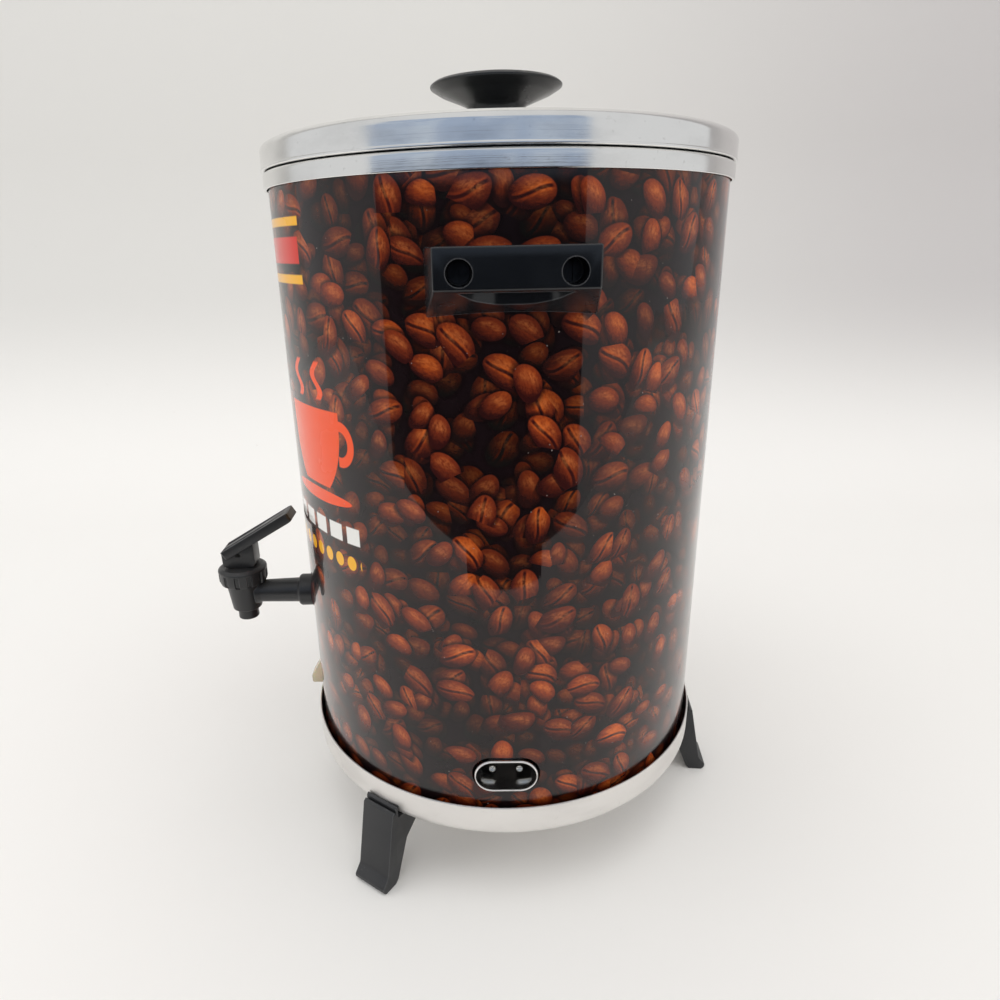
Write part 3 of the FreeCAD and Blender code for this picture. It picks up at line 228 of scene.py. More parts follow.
class Graph:
    def __init__(self, name):
        self.material = bpy.data.materials.new(name)
        self.material.use_nodes = True
        self.tree = self.material.node_tree
        self.shader = self.tree.nodes["Principled BSDF"]
        self.place = Field(self, self.add("ShaderNodeNewGeometry").outputs["Position"])

    def add(self, kind, **settings):
        node = self.tree.nodes.new(kind)
        for key, value in settings.items():
            setattr(node, key, value)
        return node

    def feed(self, socket, value):
        if isinstance(value, Field):
            self.tree.links.new(value.socket, socket)
        elif hasattr(socket.default_value, "__len__") and not hasattr(value, "__len__"):
            socket.default_value = [value] * len(socket.default_value)
        elif hasattr(value, "__len__") and len(value) == 3 and len(socket.default_value) == 4:
            socket.default_value = (*value, 1.0)
        else:
            socket.default_value = value

    def math(self, operation, *values, clamp=False):
        node = self.add("ShaderNodeMath", operation=operation, use_clamp=clamp)
        for socket, value in zip(node.inputs, values):
            self.feed(socket, value)
        return Field(self, node.outputs[0])

    def vector(self, operation, *values):
        node = self.add("ShaderNodeVectorMath", operation=operation)
        for socket, value in zip(node.inputs, values):
            self.feed(socket, value)
        out = "Value" if operation in ("LENGTH", "DOT_PRODUCT", "DISTANCE") else "Vector"
        return Field(self, node.outputs[out])

    def step(self, value, low, high):
        node = self.add("ShaderNodeMapRange", interpolation_type="SMOOTHSTEP")
        self.feed(node.inputs["Value"], value)
        flip = low > high
        node.inputs["From Min"].default_value = min(low, high)
        node.inputs["From Max"].default_value = max(low, high)
        node.inputs["To Min"].default_value = 1.0 if flip else 0.0
        node.inputs["To Max"].default_value = 0.0 if flip else 1.0
        return Field(self, node.outputs["Result"])

    def range(self, value, low, high, start, end):
        node = self.add("ShaderNodeMapRange")
        for key, number in (("Value", value), ("From Min", low), ("From Max", high), ("To Min", start),
                            ("To Max", end)):
            self.feed(node.inputs[key], number)
        return Field(self, node.outputs["Result"])

    def mix(self, factor, first, second):
        node = self.add("ShaderNodeMix", data_type="RGBA")
        self.feed(node.inputs["Factor"], factor)
        self.feed(node.inputs[6], first)
        self.feed(node.inputs[7], second)
        return Field(self, node.outputs[2])

    def noise(self, vector, scale, detail=3.0, roughness=0.55, distortion=0.0):
        node = self.add("ShaderNodeTexNoise")
        self.feed(node.inputs["Vector"], vector)
        node.inputs["Scale"].default_value = scale
        node.inputs["Detail"].default_value = detail
        node.inputs["Roughness"].default_value = roughness
        node.inputs["Distortion"].default_value = distortion
        return Field(self, node.outputs["Fac"])

    def split(self, vector):
        node = self.add("ShaderNodeSeparateXYZ")
        self.feed(node.inputs[0], vector)
        return [Field(self, out) for out in node.outputs]

    def join(self, x, y, z=0.0):
        node = self.add("ShaderNodeCombineXYZ")
        for socket, value in zip(node.inputs, (x, y, z)):
            self.feed(socket, value)
        return Field(self, node.outputs[0])

    def scaled(self, vector, x, y, z):
        return self.vector("MULTIPLY", vector, (x, y, z))

    def bump(self, height, distance, strength=1.0):
        node = self.add("ShaderNodeBump")
        node.inputs["Strength"].default_value = strength
        node.inputs["Distance"].default_value = distance
        self.feed(node.inputs["Height"], height)
        return Field(self, node.outputs["Normal"])

    def wear(self, radius=0.0008, samples=4):
        # bright where the surface turns sharply outward
        bevel = self.add("ShaderNodeBevel", samples=samples)
        bevel.inputs["Radius"].default_value = radius
        normal = self.add("ShaderNodeNewGeometry").outputs["Normal"]
        near = self.vector("DOT_PRODUCT", Field(self, bevel.outputs[0]), Field(self, normal))
        return near.below(0.93, 0.06)

    def set(self, **values):
        names = {"color": "Base Color", "rough": "Roughness", "metal": "Metallic", "normal": "Normal",
                 "coat": "Coat Weight", "coatRough": "Coat Roughness", "specular": "Specular IOR Level",
                 "transmission": "Transmission Weight", "alpha": "Alpha", "emission": "Emission Color",
                 "emissionPower": "Emission Strength", "subsurface": "Subsurface Weight",
                 "anisotropic": "Anisotropic", "ior": "IOR", "sheen": "Sheen Weight"}
        for key, value in values.items():
            self.feed(self.shader.inputs[names[key]], value)
        return self.material


def dress(piece, material):
    piece.data.materials.clear()
    piece.data.materials.append(material)


def dressNode(name, material):
    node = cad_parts[name]
    for index in range(len(node.material_slots)):
        node.material_slots[index].material = material


# Materials
def aluminium(name, color, rough, age=0.5, turned=900.0):
    # fine lines from turning, hazy smears, a few dark spots and scratches round the piece
    g = Graph(name)
    x, y, z = g.split(g.place)
    radius = g.math("SQRT", x * x + y * y)
    lines = g.noise(g.join(radius * turned, z * turned, 0.0), 1.0, 2.0, 0.7)
    smear = g.noise(g.scaled(g.place, 1, 1, 3), 30, 4)
    spots = g.noise(g.place, 420, 2, 0.6)
    haze = g.math("MULTIPLY", smear.above(0.56, 0.14), age)
    base = g.mix(haze, color, [c * 0.84 for c in color])
    base = g.mix(spots.above(0.70, 0.05) * 0.35 * age, base, (0.32, 0.30, 0.28))
    scratches = g.noise(g.scaled(g.place, 240, 240, 2600), 1.0, 1.0)
    roughness = g.range(smear, 0.3, 0.75, rough * 0.75, rough * 1.5) + lines * 0.05
    height = lines * 0.5 + scratches * 0.12 + g.noise(g.place, 90, 2) * 1.6
    return g.set(color=base, rough=roughness, metal=1.0, normal=g.bump(height, 0.00004))


def blackPlastic(name, base, rough, grain=0.6, dust=0.5, worn=0.35):
    g = Graph(name)
    fine = g.noise(g.place, 1900, 2)
    patches = g.noise(g.place, 60, 4)
    dusty = g.noise(g.place, 700, 3, 0.75).above(0.66, 0.05)
    normalUp = g.split(Field(g, g.add("ShaderNodeNewGeometry").outputs["Normal"]))[2]
    settle = normalUp.above(0.55, 0.35) * patches.above(0.45, 0.2) * dust
    color = g.mix(patches * 0.5, base, [c * 1.7 + 0.004 for c in base])
    color = g.mix(settle * 0.10 + dusty * settle * 0.5, color, (0.42, 0.40, 0.38))
    color = g.mix(g.wear() * worn, color, (0.16, 0.16, 0.165))
    roughness = g.range(patches, 0.3, 0.7, rough * 0.85, rough * 1.3) + settle * 0.25
    height = fine * grain + patches * 0.8
    return g.set(color=color, rough=roughness, normal=g.bump(height, 0.00003), specular=0.5)


def platedSteel(name, color, rough):
    g = Graph(name)
    cloud = g.noise(g.place, 160, 4)
    color = g.mix(cloud.above(0.6, 0.1) * 0.5, color, [c * 0.6 for c in color])
    return g.set(color=color, rough=g.range(cloud, 0.3, 0.7, rough * 0.7, rough * 1.5), metal=1.0,
                 normal=g.bump(g.noise(g.place, 1500, 2), 0.00002))


def plainMatter(name, color, rough, second=None, metal=0.0, **more):
    g = Graph(name)
    cloud = g.noise(g.place, 220, 4)
    mixed = g.mix(cloud.above(0.5, 0.2), color, second or [c * 0.75 for c in color])
    return g.set(color=mixed, rough=g.range(cloud, 0.3, 0.7, rough * 0.8, rough * 1.25), metal=metal,
                 normal=g.bump(g.noise(g.place, 1300, 3), 0.00003), **more)


def beanLayer(g, flat, cell, shift, chance):
    # one scatter of beans, one to a cell: its cover, its shade and its shadow on what lies under it
    moved = g.vector("ADD", g.scaled(flat, 1 / cell, 1 / cell, 0), (*shift, 0.0))
    voronoi = g.add("ShaderNodeTexVoronoi", voronoi_dimensions="2D", feature="F1")
    g.feed(voronoi.inputs["Vector"], moved)
    voronoi.inputs["Scale"].default_value = 1.0
    voronoi.inputs["Randomness"].default_value = 0.82
    centre = Field(g, voronoi.outputs["Position"])
    pick = g.split(Field(g, voronoi.outputs["Color"]))
    lx, ly, _ = g.split(g.vector("SUBTRACT", moved, centre))
    # along and across the bean in its own turned frame, and its slightly bent oval
    angle = pick[0] * (2 * math.pi)
    c, s = angle.math("COSINE"), angle.math("SINE")
    along = lx * c + ly * s
    across = ly * c - lx * s
    size = g.range(pick[2], 0, 1, 0.80, 1.12)
    length = size * 0.54
    width = size * g.range(pick[1], 0, 1, 0.33, 0.43)
    a = along / length
    b = across / width + a * a * (pick[0] - 0.5) * 0.6
    ring = a * a + b * b
    inside = ring.below(0.93, 0.07)
    shown = pick[1].math("LESS_THAN", chance)
    cover = inside * shown
    dome = g.math("SQRT", g.math("MAXIMUM", 1.0 - ring, 0.0))
    # lit from above, a little from the right, with a wrinkled skin
    toLight = g.math("ADD", (lx / length) * 0.35, (ly / length) * 0.85)
    wrinkle = g.noise(g.join(along * 4.5, across * 8.0, pick[0] * 40), 1.8, 4, 0.7)
    shade = g.math("ADD", dome * 0.55, toLight * 0.55 + (wrinkle - 0.5) * 0.6, clamp=True)
    shade = shade * g.range(pick[0], 0, 1, 0.58, 1.15)
    sunny = dome.above(0.80, 0.16) * toLight.above(0.10, 0.2) * wrinkle.above(0.5, 0.2)
    # the crease shows on the beans that lie face up
    faceUp = pick[2].above(0.62, 0.02)
    line = g.math("ABSOLUTE", b - g.math("SINE", a * 2.6) * 0.16)
    crease = line.below(0.10, 0.06) * a.math("ABSOLUTE").below(0.86, 0.1) * faceUp
    lips = line.below(0.26, 0.07) * a.math("ABSOLUTE").below(0.84, 0.12) * faceUp
    shade = g.math("ADD", shade, lips * 0.16) * (1.0 - crease * 0.86)
    shadow = ring.below(1.35, 0.42) * shown
    return {"cover": cover, "shade": shade, "sunny": sunny * cover, "shadow": shadow}


def beanPrint(g, flat):
    # each layer: size of a cell, shift, share of cells with a bean, strength of its colour
    layers = [
        (0.0142, (3.1, 8.7), 1.1, 0.22),
        (0.0136, (11.7, 2.3), 0.80, 0.40),
        (0.0158, (5.3, 17.9), 0.58, 0.70),
        (0.0148, (31.7, 12.9), 0.46, 1.0),
        (0.0166, (23.9, 6.1), 0.32, 1.2),
    ]
    clump = g.noise(flat, 38, 2)
    fineGrain = g.noise(flat, 1700, 3, 0.7)
    color = (0.0075, 0.0032, 0.0040)
    for cell, shift, chance, power in layers:
        bean = beanLayer(g, flat, cell, shift, chance)
        dark = (0.026 * power, 0.0044, 0.0036)
        mid = (0.175 * power, 0.0250 * power, 0.0060 * power)
        bright = (0.50 * power, 0.090 * power, 0.010 * power)
        tone = bean["shade"] * g.range(clump, 0.3, 0.7, 0.62, 1.15) + (fineGrain - 0.5) * 0.25
        skin = g.mix(tone.above(0.30, 0.26), dark, mid)
        skin = g.mix(tone.above(0.68, 0.26), skin, bright)
        skin = g.mix(bean["sunny"] * 0.5, skin, (0.56 * power, 0.17 * power, 0.045 * power))
        color = g.mix(bean["shadow"] * 0.8, color, (0.005, 0.0018, 0.002))
        color = g.mix(bean["cover"], color, skin)
    return color


def frontDesign(g, around, height, color):
    # two stripes and a band, three plain cups, and a row each of dashes and dots below them, in metres
    yellow, orange = (0.86, 0.42, 0.010), (0.85, 0.075, 0.006)
    white, red = (0.78, 0.77, 0.74), (0.62, 0.022, 0.010)
    soft = 0.0003
    stripeHalf, bandHalf, rowHalf = 0.0705, 0.0690, 0.0945
    dashStep, dashGap, dotStep, dotLevel = 0.0065, 0.0048, 0.0044, 0.1680
    dotHalf = {"wide": 0.0030, "tall": 0.0034}
    cup = {"low": 0.201, "high": 0.236, "half": 0.0225, "taper": 0.0105,
           "earLevel": 0.2225, "earSquash": 0.85, "earRadius": 0.0078, "earHalf": 0.0022,
           "saucerLevel": 0.1962, "saucerWide": 0.0270, "saucerTall": 0.0030,
           "steamLow": 0.2400, "steamHigh": 0.2560, "steamApart": 0.0085, "steamSway": 0.0026,
           "steamHalf": 0.0020, "steamTurns": 420.0}

    def between(low, high, blur=soft):
        return height.above(low, blur) * height.below(high, blur)

    def within(half):
        return around.math("ABSOLUTE").below(half, soft)

    marks = [
        (within(stripeHalf) * between(0.3090, 0.3124), yellow),
        (within(stripeHalf) * between(0.2866, 0.2902), yellow),
        (within(bandHalf) * between(0.2945, 0.3048), red),
    ]
    dash = (g.math("PINGPONG", around, dashStep) - dashGap).below(0.0, 0.0002)
    marks.append((within(rowHalf) * dash * between(0.1775, 0.1855), white))
    dotX = g.math("PINGPONG", around, dotStep) / dotHalf["wide"]
    dotY = (height - dotLevel) / dotHalf["tall"]
    marks.append((within(rowHalf) * (dotX * dotX + dotY * dotY).below(1.0, 0.08), yellow))
    # each cup: a body that tapers to round lower corners, an ear, a saucer and two curls of steam
    for middle in (-0.0645, 0.0, 0.0645):
        across = around - middle
        taper = g.math("POWER", g.range(height, cup["low"], cup["high"], 1.0, 0.0), 3.0) * cup["taper"]
        body = (across.math("ABSOLUTE") - (cup["half"] - taper)).below(0.0, soft)
        body = body * between(cup["low"], cup["high"])
        earX, earY = (across - cup["half"]) / cup["earSquash"], height - cup["earLevel"]
        earRing = g.math("SQRT", earX * earX + earY * earY) - cup["earRadius"]
        ear = earRing.math("ABSOLUTE").below(cup["earHalf"], soft) * across.above(0.021, 0.0004)
        saucerX, saucerY = across / cup["saucerWide"], (height - cup["saucerLevel"]) / cup["saucerTall"]
        saucer = (saucerX * saucerX + saucerY * saucerY).below(1.0, 0.05)
        marks += [(body, orange), (ear, orange), (saucer, orange)]
        sway = g.math("SINE", height * cup["steamTurns"]) * cup["steamSway"]
        for offset in (-cup["steamApart"], cup["steamApart"]):
            curl = (across - offset - sway).math("ABSOLUTE").below(cup["steamHalf"], soft)
            marks.append((curl * between(cup["steamLow"], cup["steamHigh"], 0.0006), orange))
    for mark, paint in marks:
        color = g.mix(mark, color, paint)
    return color


def jacketPrint():
    print("material: printed jacket")
    g = Graph("jacket_print")
    x, y, z = g.split(g.place)
    azimuth = g.math("ARCTAN2", x, -y)
    around = azimuth * (urn["jacketRadius"] * mm)
    color = beanPrint(g, g.join(around + g.noise(g.place, 45, 1) * 0.003, z))
    color = frontDesign(g, around, z, color)
    # small rubs and pin holes in the print, and a lap seam at the back
    rub = g.noise(g.scaled(g.place, 700, 700, 160), 1.0, 2.0).above(0.80, 0.03)
    color = g.mix(rub * 0.5, color, (0.10, 0.07, 0.06))
    speck = g.noise(g.place, 620, 1.0).above(0.80, 0.015)
    color = g.mix(speck * 0.7, color, (0.30, 0.26, 0.24))
    seam = g.math("ABSOLUTE", azimuth - math.radians(178.6)).below(0.0016, 0.0006)
    color = g.mix(seam * 0.8, color, (0.01, 0.008, 0.008))
    waves = g.noise(g.scaled(g.place, 1, 1, 0.35), 26, 1)
    peel = g.noise(g.place, 900, 1)
    smear = g.noise(g.place, 18, 4)
    return g.set(color=color, rough=g.range(smear, 0.3, 0.7, 0.20, 0.34), coat=0.7, coatRough=0.035,
                 specular=0.08, normal=g.bump(waves + peel * 0.012 + seam * -0.6, 0.0006, 0.3))


def lensPlastic():
    g = Graph("lens_plastic")
    cloud = g.noise(g.place, 130, 3)
    color = g.mix(cloud, (0.80, 0.70, 0.52), (0.72, 0.60, 0.42))
    return g.set(color=color, rough=0.22, transmission=0.35, ior=1.49, subsurface=0.2,
                 normal=g.bump(g.noise(g.place, 500, 2), 0.00004))


def drawnAluminium(name, color, rough):
    # the pot's inside: dull, with water lines and spots
    g = Graph(name)
    x, y, z = g.split(g.place)
    lines = g.noise(g.join(x * 40, y * 40, z * 1600), 1.0, 3)
    tide = g.noise(g.join(x * 14, y * 14, z * 210), 1.0, 4)
    spots = g.noise(g.place, 260, 3)
    base = g.mix(tide.above(0.55, 0.1) * 0.4, color, [c * 0.72 for c in color])
    base = g.mix(spots.above(0.68, 0.04) * 0.5, base, (0.42, 0.36, 0.30))
    return g.set(color=base, rough=g.range(tide, 0.3, 0.7, rough * 0.8, rough * 1.4), metal=1.0,
                 normal=g.bump(lines, 0.00003))


def heaterSheath():
    g = Graph("heater_sheath")
    heat = g.noise(g.place, 70, 4)
    color = g.mix(heat.above(0.5, 0.15), (0.30, 0.27, 0.25), (0.16, 0.11, 0.09))
    return g.set(color=color, rough=g.range(heat, 0.3, 0.7, 0.35, 0.6), metal=0.9,
                 normal=g.bump(g.noise(g.place, 900, 3), 0.00004))


# All materials by the names that the pieces use
print("materials")
mat = {
    "jacket": jacketPrint(),
    "rim": aluminium("polished_rim", (0.83, 0.828, 0.815), 0.13),
    "lid": aluminium("polished_lid", (0.83, 0.828, 0.818), 0.12),
    "pan": aluminium("satin_pan", (0.83, 0.81, 0.785), 0.34, age=0.3, turned=500.0),
    "pot": drawnAluminium("drawn_pot", (0.74, 0.74, 0.75), 0.32),
    "pump": drawnAluminium("spun_pump", (0.77, 0.77, 0.78), 0.28),
    "basket": drawnAluminium("pressed_basket", (0.79, 0.79, 0.80), 0.30),
    "black": blackPlastic("black_phenolic", (0.0135, 0.0140, 0.0155), 0.38),
    "handle": blackPlastic("handle_phenolic", (0.0026, 0.0036, 0.0052), 0.22, grain=0.3, dust=0.15, worn=0.6),
    "tap": blackPlastic("tap_plastic", (0.0150, 0.0155, 0.0165), 0.33, dust=0.35),
    "knob": blackPlastic("knob_phenolic", (0.0110, 0.0115, 0.0115), 0.22, grain=0.15, dust=0.8),
    "screw": platedSteel("plated_screw", (0.52, 0.51, 0.50), 0.32),
    "dark_screw": platedSteel("blackened_screw", (0.045, 0.045, 0.048), 0.4),
    "plate": platedSteel("plated_sheet", (0.60, 0.60, 0.60), 0.38),
    "sleeve": platedSteel("polished_sleeve", (0.76, 0.75, 0.74), 0.16),
    "pins": platedSteel("nickel_pins", (0.78, 0.76, 0.70), 0.2),
    "insulator": plainMatter("moulded_insulator", (0.030, 0.022, 0.018), 0.55),
    "silicone": plainMatter("dark_seal", (0.060, 0.010, 0.010), 0.5, (0.035, 0.008, 0.008)),
    "ceramic": plainMatter("pale_ceramic", (0.62, 0.58, 0.50), 0.6),
    "heater": heaterSheath(),
    "spring": platedSteel("spring_wire", (0.66, 0.66, 0.67), 0.22),
    "lens": lensPlastic(),
    "lamp": plainMatter("lamp_glass", (0.55, 0.30, 0.18), 0.15, transmission=0.6),
}

# Base pan
print("base pan")
pan = {"radius": 107.8, "floor": 38.0, "rim": 55.5, "corner": 6.0, "wall": 1.0, "hole": 3.2, "lipRound": 0.45}
panInside, panTop = pan["radius"] - pan["wall"], pan["floor"] + pan["wall"]
panShell = lathe("pan_shell", [
    (pan["hole"], pan["floor"]), (pan["radius"], pan["floor"], pan["corner"]),
    (pan["radius"], pan["rim"], pan["lipRound"]), (panInside, pan["rim"], pan["lipRound"]),
    (panInside, panTop, pan["corner"] - pan["wall"]), (pan["hole"], panTop),
], "urn", 224, steps=8)
dress(panShell, mat["pan"])
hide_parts("base_pan")

# Tank and its rolled rim
print("tank")
tank = {"bore": 98.0, "wall": 1.2, "floor": 88.0, "corner": 8.0, "wellRadius": 31.0, "wellDepth": 10.0,
        "rimRadius": 106.8, "rimLow": 324.2, "rimHigh": 331.0, "rimRound": 2.6, "lipRound": 0.45}
wellFloor = tank["floor"] - tank["wellDepth"]
wellOuter, tankOuter = tank["wellRadius"] + tank["wall"], tank["bore"] + tank["wall"]
tankUnder, rimUnder = tank["floor"] - tank["wall"], tank["rimHigh"] - tank["wall"]
rimInside = tank["rimRadius"] - tank["wall"]
tankShell = lathe("tank_shell", [
    (0, wellFloor - tank["wall"]), (wellOuter, wellFloor - tank["wall"], 2.0), (wellOuter, tankUnder, 1.5),
    (tankOuter, tankUnder, tank["corner"] + tank["wall"]), (tankOuter, rimUnder, 0.4),
    (rimInside, rimUnder, 1.2), (rimInside, tank["rimLow"], 0.3),
    (tank["rimRadius"], tank["rimLow"], tank["lipRound"]),
    # two more points keep the rim's wall straight in the reflections
    (tank["rimRadius"], tank["rimLow"] + 0.6), (tank["rimRadius"], tank["rimHigh"] - 2.8),
    (tank["rimRadius"], tank["rimHigh"], tank["rimRound"]), (tank["bore"], tank["rimHigh"], 1.4),
    (tank["bore"], tank["floor"], tank["corner"]), (tank["wellRadius"], tank["floor"], 2.0),
    (tank["wellRadius"], wellFloor, 1.5), (0, wellFloor),
], "urn", 224, steps=7)
tankShell.data.materials.append(mat["rim"])
tankShell.data.materials.append(mat["pot"])
for face in tankShell.data.polygons:
    inside = math.hypot(face.center.x, face.center.y) < 0.0996 and face.center.z < 0.3305
    face.material_index = 1 if inside else 0
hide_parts("tank")

# Jacket with its cut-outs for the inlet, the tap and the ready light
print("jacket")
jacket = {"wall": 0.8, "low": 40.6, "high": 329.5, "edgeRound": 0.2, "tapHole": 6.65, "windowHalf": 4.65,
          "windowLow": 57.55, "windowHigh": 73.45, "cutFrom": 90, "cutTo": 120}
inlet = {"straightHalf": 6.1, "hole": 9.5, "outer": 8.5, "inner": 7.5, "back": 80.0, "face": 106.2}
inletTurn = turnZ(urn["inletTurn"])
jacketInside = urn["jacketRadius"] - jacket["wall"]
jacketShell = lathe("jacket_shell", [
    (jacketInside, jacket["low"]), (urn["jacketRadius"], jacket["low"], jacket["edgeRound"]),
    (urn["jacketRadius"], jacket["high"]), (jacketInside, jacket["high"]),
], "urn", 256)


def ovalPoints(radius, count=16):
    # two half circles round the ends of the inlet's straight length
    points = []
    for side in (1, -1):
        for k in range(count + 1):
            angle = math.pi * (k / count - 0.5 * side)
            points.append((side * inlet["straightHalf"] + radius * math.cos(angle),
                           urn["inletHeight"] + radius * math.sin(angle)))
    return points


half, low, high = jacket["windowHalf"], jacket["windowLow"], jacket["windowHigh"]
window = [(-half, low), (half, low), (half, high), (-half, high)]
tapHole = circlePoints(0, urn["tapHeight"], jacket["tapHole"])
cutFrom, cutTo = jacket["cutFrom"], jacket["cutTo"]
cutWith(jacketShell, [
    cutterPrism(ovalPoints(inlet["hole"]), cutFrom, cutTo, (yAxis, zAxis, xAxis), inletTurn),
    cutterPrism(tapHole, -cutTo, -cutFrom, (xAxis, zAxis, yAxis)),
    cutterPrism(window, -cutTo, -cutFrom, (xAxis, zAxis, yAxis)),
])
dress(jacketShell, mat["jacket"])
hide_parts("jacket")

# Lid: a low crown, a skirt with a bead, and a plug that sits in the tank
print("lid")
lid = {"hole": 2.35, "crown": 347.9, "boss": 17.0, "skirt": 107.0, "skirtTop": 340.9, "bead": 107.35,
       "beadLow": 331.3, "plug": 97.4, "plugLow": 322.0, "wall": 0.9}
lidUnder, skirtInside = lid["crown"] - lid["wall"], lid["skirt"] - lid["wall"]
plugInside, ledge = lid["plug"] - lid["wall"], lid["beadLow"] + lid["wall"]
lidShell = lathe("lid_shell", [
    (lid["hole"], lid["crown"]), (lid["boss"], lid["crown"], 4.0), (103.4, 342.6, 2.0),
    (lid["skirt"], lid["skirtTop"], 3.4), (lid["skirt"], lid["skirtTop"] - 4.0), (lid["skirt"], 333.3),
    (lid["skirt"], 332.6, 0.5), (lid["bead"], 332.3, 0.4), (lid["bead"], 331.5, 0.4),
    (106.6, lid["beadLow"], 0.3), (lid["plug"], lid["beadLow"], 0.5), (lid["plug"], lid["plugLow"], 0.3),
    (plugInside, lid["plugLow"], 0.3), (plugInside, ledge, 0.8), (skirtInside, ledge, 0.4),
    (skirtInside, 340.2, 2.2), (103.2, 341.5, 2.0), (lid["boss"], lidUnder, 4.0), (lid["hole"], lidUnder),
], "lid", 224, steps=7)
dress(lidShell, mat["lid"])
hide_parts("lid")

# Knob: a flat cap on a funnel, with a blind hole for its screw
print("knob")
knob = {"top": 371.3, "rim": 30.15, "rimLevel": 367.6, "neck": 11.4, "neckLevel": 354.0, "foot": 15.0,
        "screwHole": 2.2, "screwTop": 361.9}
knobCap = lathe("knob_cap", [
    (0, knob["top"]), (13.0, 371.0, 12.0), (22.0, 370.1, 12.0), (28.7, 368.7, 2.2),
    (knob["rim"], knob["rimLevel"], 0.6), (29.8, 366.9, 0.5), (25.5, 364.4, 12.0), (19.0, 361.9, 10.0),
    (14.0, 359.8, 5.0), (12.0, 357.5, 6.0), (knob["neck"], knob["neckLevel"], 6.0), (12.2, 351.0, 5.0),
    (knob["foot"], 348.1, 0.5), (knob["screwHole"], 347.95), (knob["screwHole"], knob["screwTop"]),
    (0, knob["screwTop"]),
], "lid", 128, steps=8)
dress(knobCap, mat["knob"])
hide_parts("knob")


# Legs: a flat top under the pan, a splayed shin with a hook over the pan's wall, and a foot
def makeLeg(number):
    leg = {"top": 37.95, "inner": 76.0, "half": 9.5, "edgeRound": 0.45, "firstTurn": -36.2, "step": 120}
    panSide, hookTop = 107.85, 44.6
    outline = roundOutline([
        (leg["inner"], leg["top"], 0.5), (leg["inner"], 34.0, 1.0), (88.1, 34.0, 1.5), (102.8, 21.8, 3.0),
        (110.8, 2.2, 1.8), (112.8, 0.01, 0.9), (120.2, 0.01, 1.2), (121.8, 1.8, 1.0), (121.8, 3.8, 0.8),
        (120.2, 5.6, 0.9), (118.0, 8.2, 3.5), (111.7, 41.6, 0.5), (110.6, 42.6, 0.4), (109.9, 42.5, 0.3),
        (109.6, 40.4, 0.2), (109.3, 40.4, 0.2), (109.25, 43.8, 0.4), (108.6, hookTop, 0.4),
        (panSide, hookTop), (panSide, leg["top"]),
    ], steps=4)
    bm = bmesh.new()
    prismInto(bm, outline, -leg["half"], leg["half"], (xAxis, zAxis, yAxis))
    bevelEdges(bm, leg["edgeRound"], 50)
    place = turnZ(leg["firstTurn"] + leg["step"] * (number - 1))
    piece = fromBmesh("leg_shell_" + str(number), bm, "urn", 40, mm, place)
    dress(piece, mat["black"])
    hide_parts("leg_" + str(number))


print("legs")
for number in (1, 2, 3):
    makeLeg(number)


# Handles: a wedge with a scooped grip below and two stepped screw holes
handle = {"top": 300.0, "face": 286.3, "rootLow": 277.5, "front": 128.0, "back": 99.0, "backHalf": 31.5,
          "frontHalf": 27.5, "edgeRound": 0.7, "scoopTop": 286.9, "gripTop": 296.4, "screwApart": 18.9,
          "screwLevel": 291.8, "headHole": 4.4, "screwHole": 2.05}


def makeHandle(name, node, turn):
    bm = bmesh.new()
    slant = (handle["face"] - handle["rootLow"]) / (handle["front"] - urn["jacketRadius"])
    backLow = handle["rootLow"] - (urn["jacketRadius"] - handle["back"]) * slant
    corners = []
    for side, depth in ((-1, "back"), (-1, "front"), (1, "front"), (1, "back")):
        across = side * handle[depth + "Half"]
        low = handle["face"] if depth == "front" else backLow
        corners.append([bm.verts.new((handle[depth], across, level)) for level in (low, handle["top"])])
    bm.faces.new([c[0] for c in corners])
    bm.faces.new([c[1] for c in corners])
    for i in range(4):
        a, b = corners[i], corners[(i + 1) % 4]
        bm.faces.new((a[0], b[0], b[1], a[1]))
    bevelEdges(bm, handle["edgeRound"], 20)
    place = turnZ(turn)
    piece = fromBmesh(name, bm, "urn", 40, mm, place)
    scoop = roundOutline([
        (125.6, -19.5, 0.5), (125.6, 19.5, 0.5), (117.5, 14.0, 10.0), (113.2, 6.2, 10.0), (113.2, -6.2, 10.0),
        (117.5, -14.0, 10.0),
    ])
    grip = roundOutline([
        (115.8, -8.3, 3.0), (120.3, -11.5, 3.0), (124.8, -9.2, 3.0), (124.8, 9.2, 3.0), (120.3, 11.5, 3.0),
        (115.8, 8.3, 3.0),
    ])
    upright, outward = (xAxis, yAxis, zAxis), (yAxis, zAxis, xAxis)
    cutters = [
        cutterPrism(circlePoints(0, 0, urn["jacketRadius"] + 0.02, 360), 260, 320, upright),
        cutterPrism(scoop, 260, handle["scoopTop"], upright, place),
        cutterPrism(grip, 260, handle["gripTop"], upright, place),
    ]
    for across in (-handle["screwApart"], handle["screwApart"]):
        head = circlePoints(across, handle["screwLevel"], handle["headHole"])
        shank = circlePoints(across, handle["screwLevel"], handle["screwHole"], 24)
        cutters += [cutterPrism(head, 115, 140, outward, place), cutterPrism(shank, 100, 116, outward, place)]
    cutWith(piece, cutters)
    dress(piece, mat["handle"])
    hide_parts(node)


print("handles")
makeHandle("handle_shell_right", "handle_right", 0)
makeHandle("handle_shell_left", "handle_left", 180)

# Power inlet: an oval sleeve with rounded lips
print("inlet")


def ovalTube(name, rings, place, body):
    # rings of (end radius, distance along X), joined and closed on itself
    bm = bmesh.new()
    loops = [[bm.verts.new((distance, *p)) for p in ovalPoints(radius)] for radius, distance in rings]
    for i, a in enumerate(loops):
        b = loops[(i + 1) % len(loops)]
        for k in range(len(a)):
            n = (k + 1) % len(a)
            bm.faces.new((a[k], a[n], b[n], b[k]))
    return fromBmesh(name, bm, body, 40, mm, place)


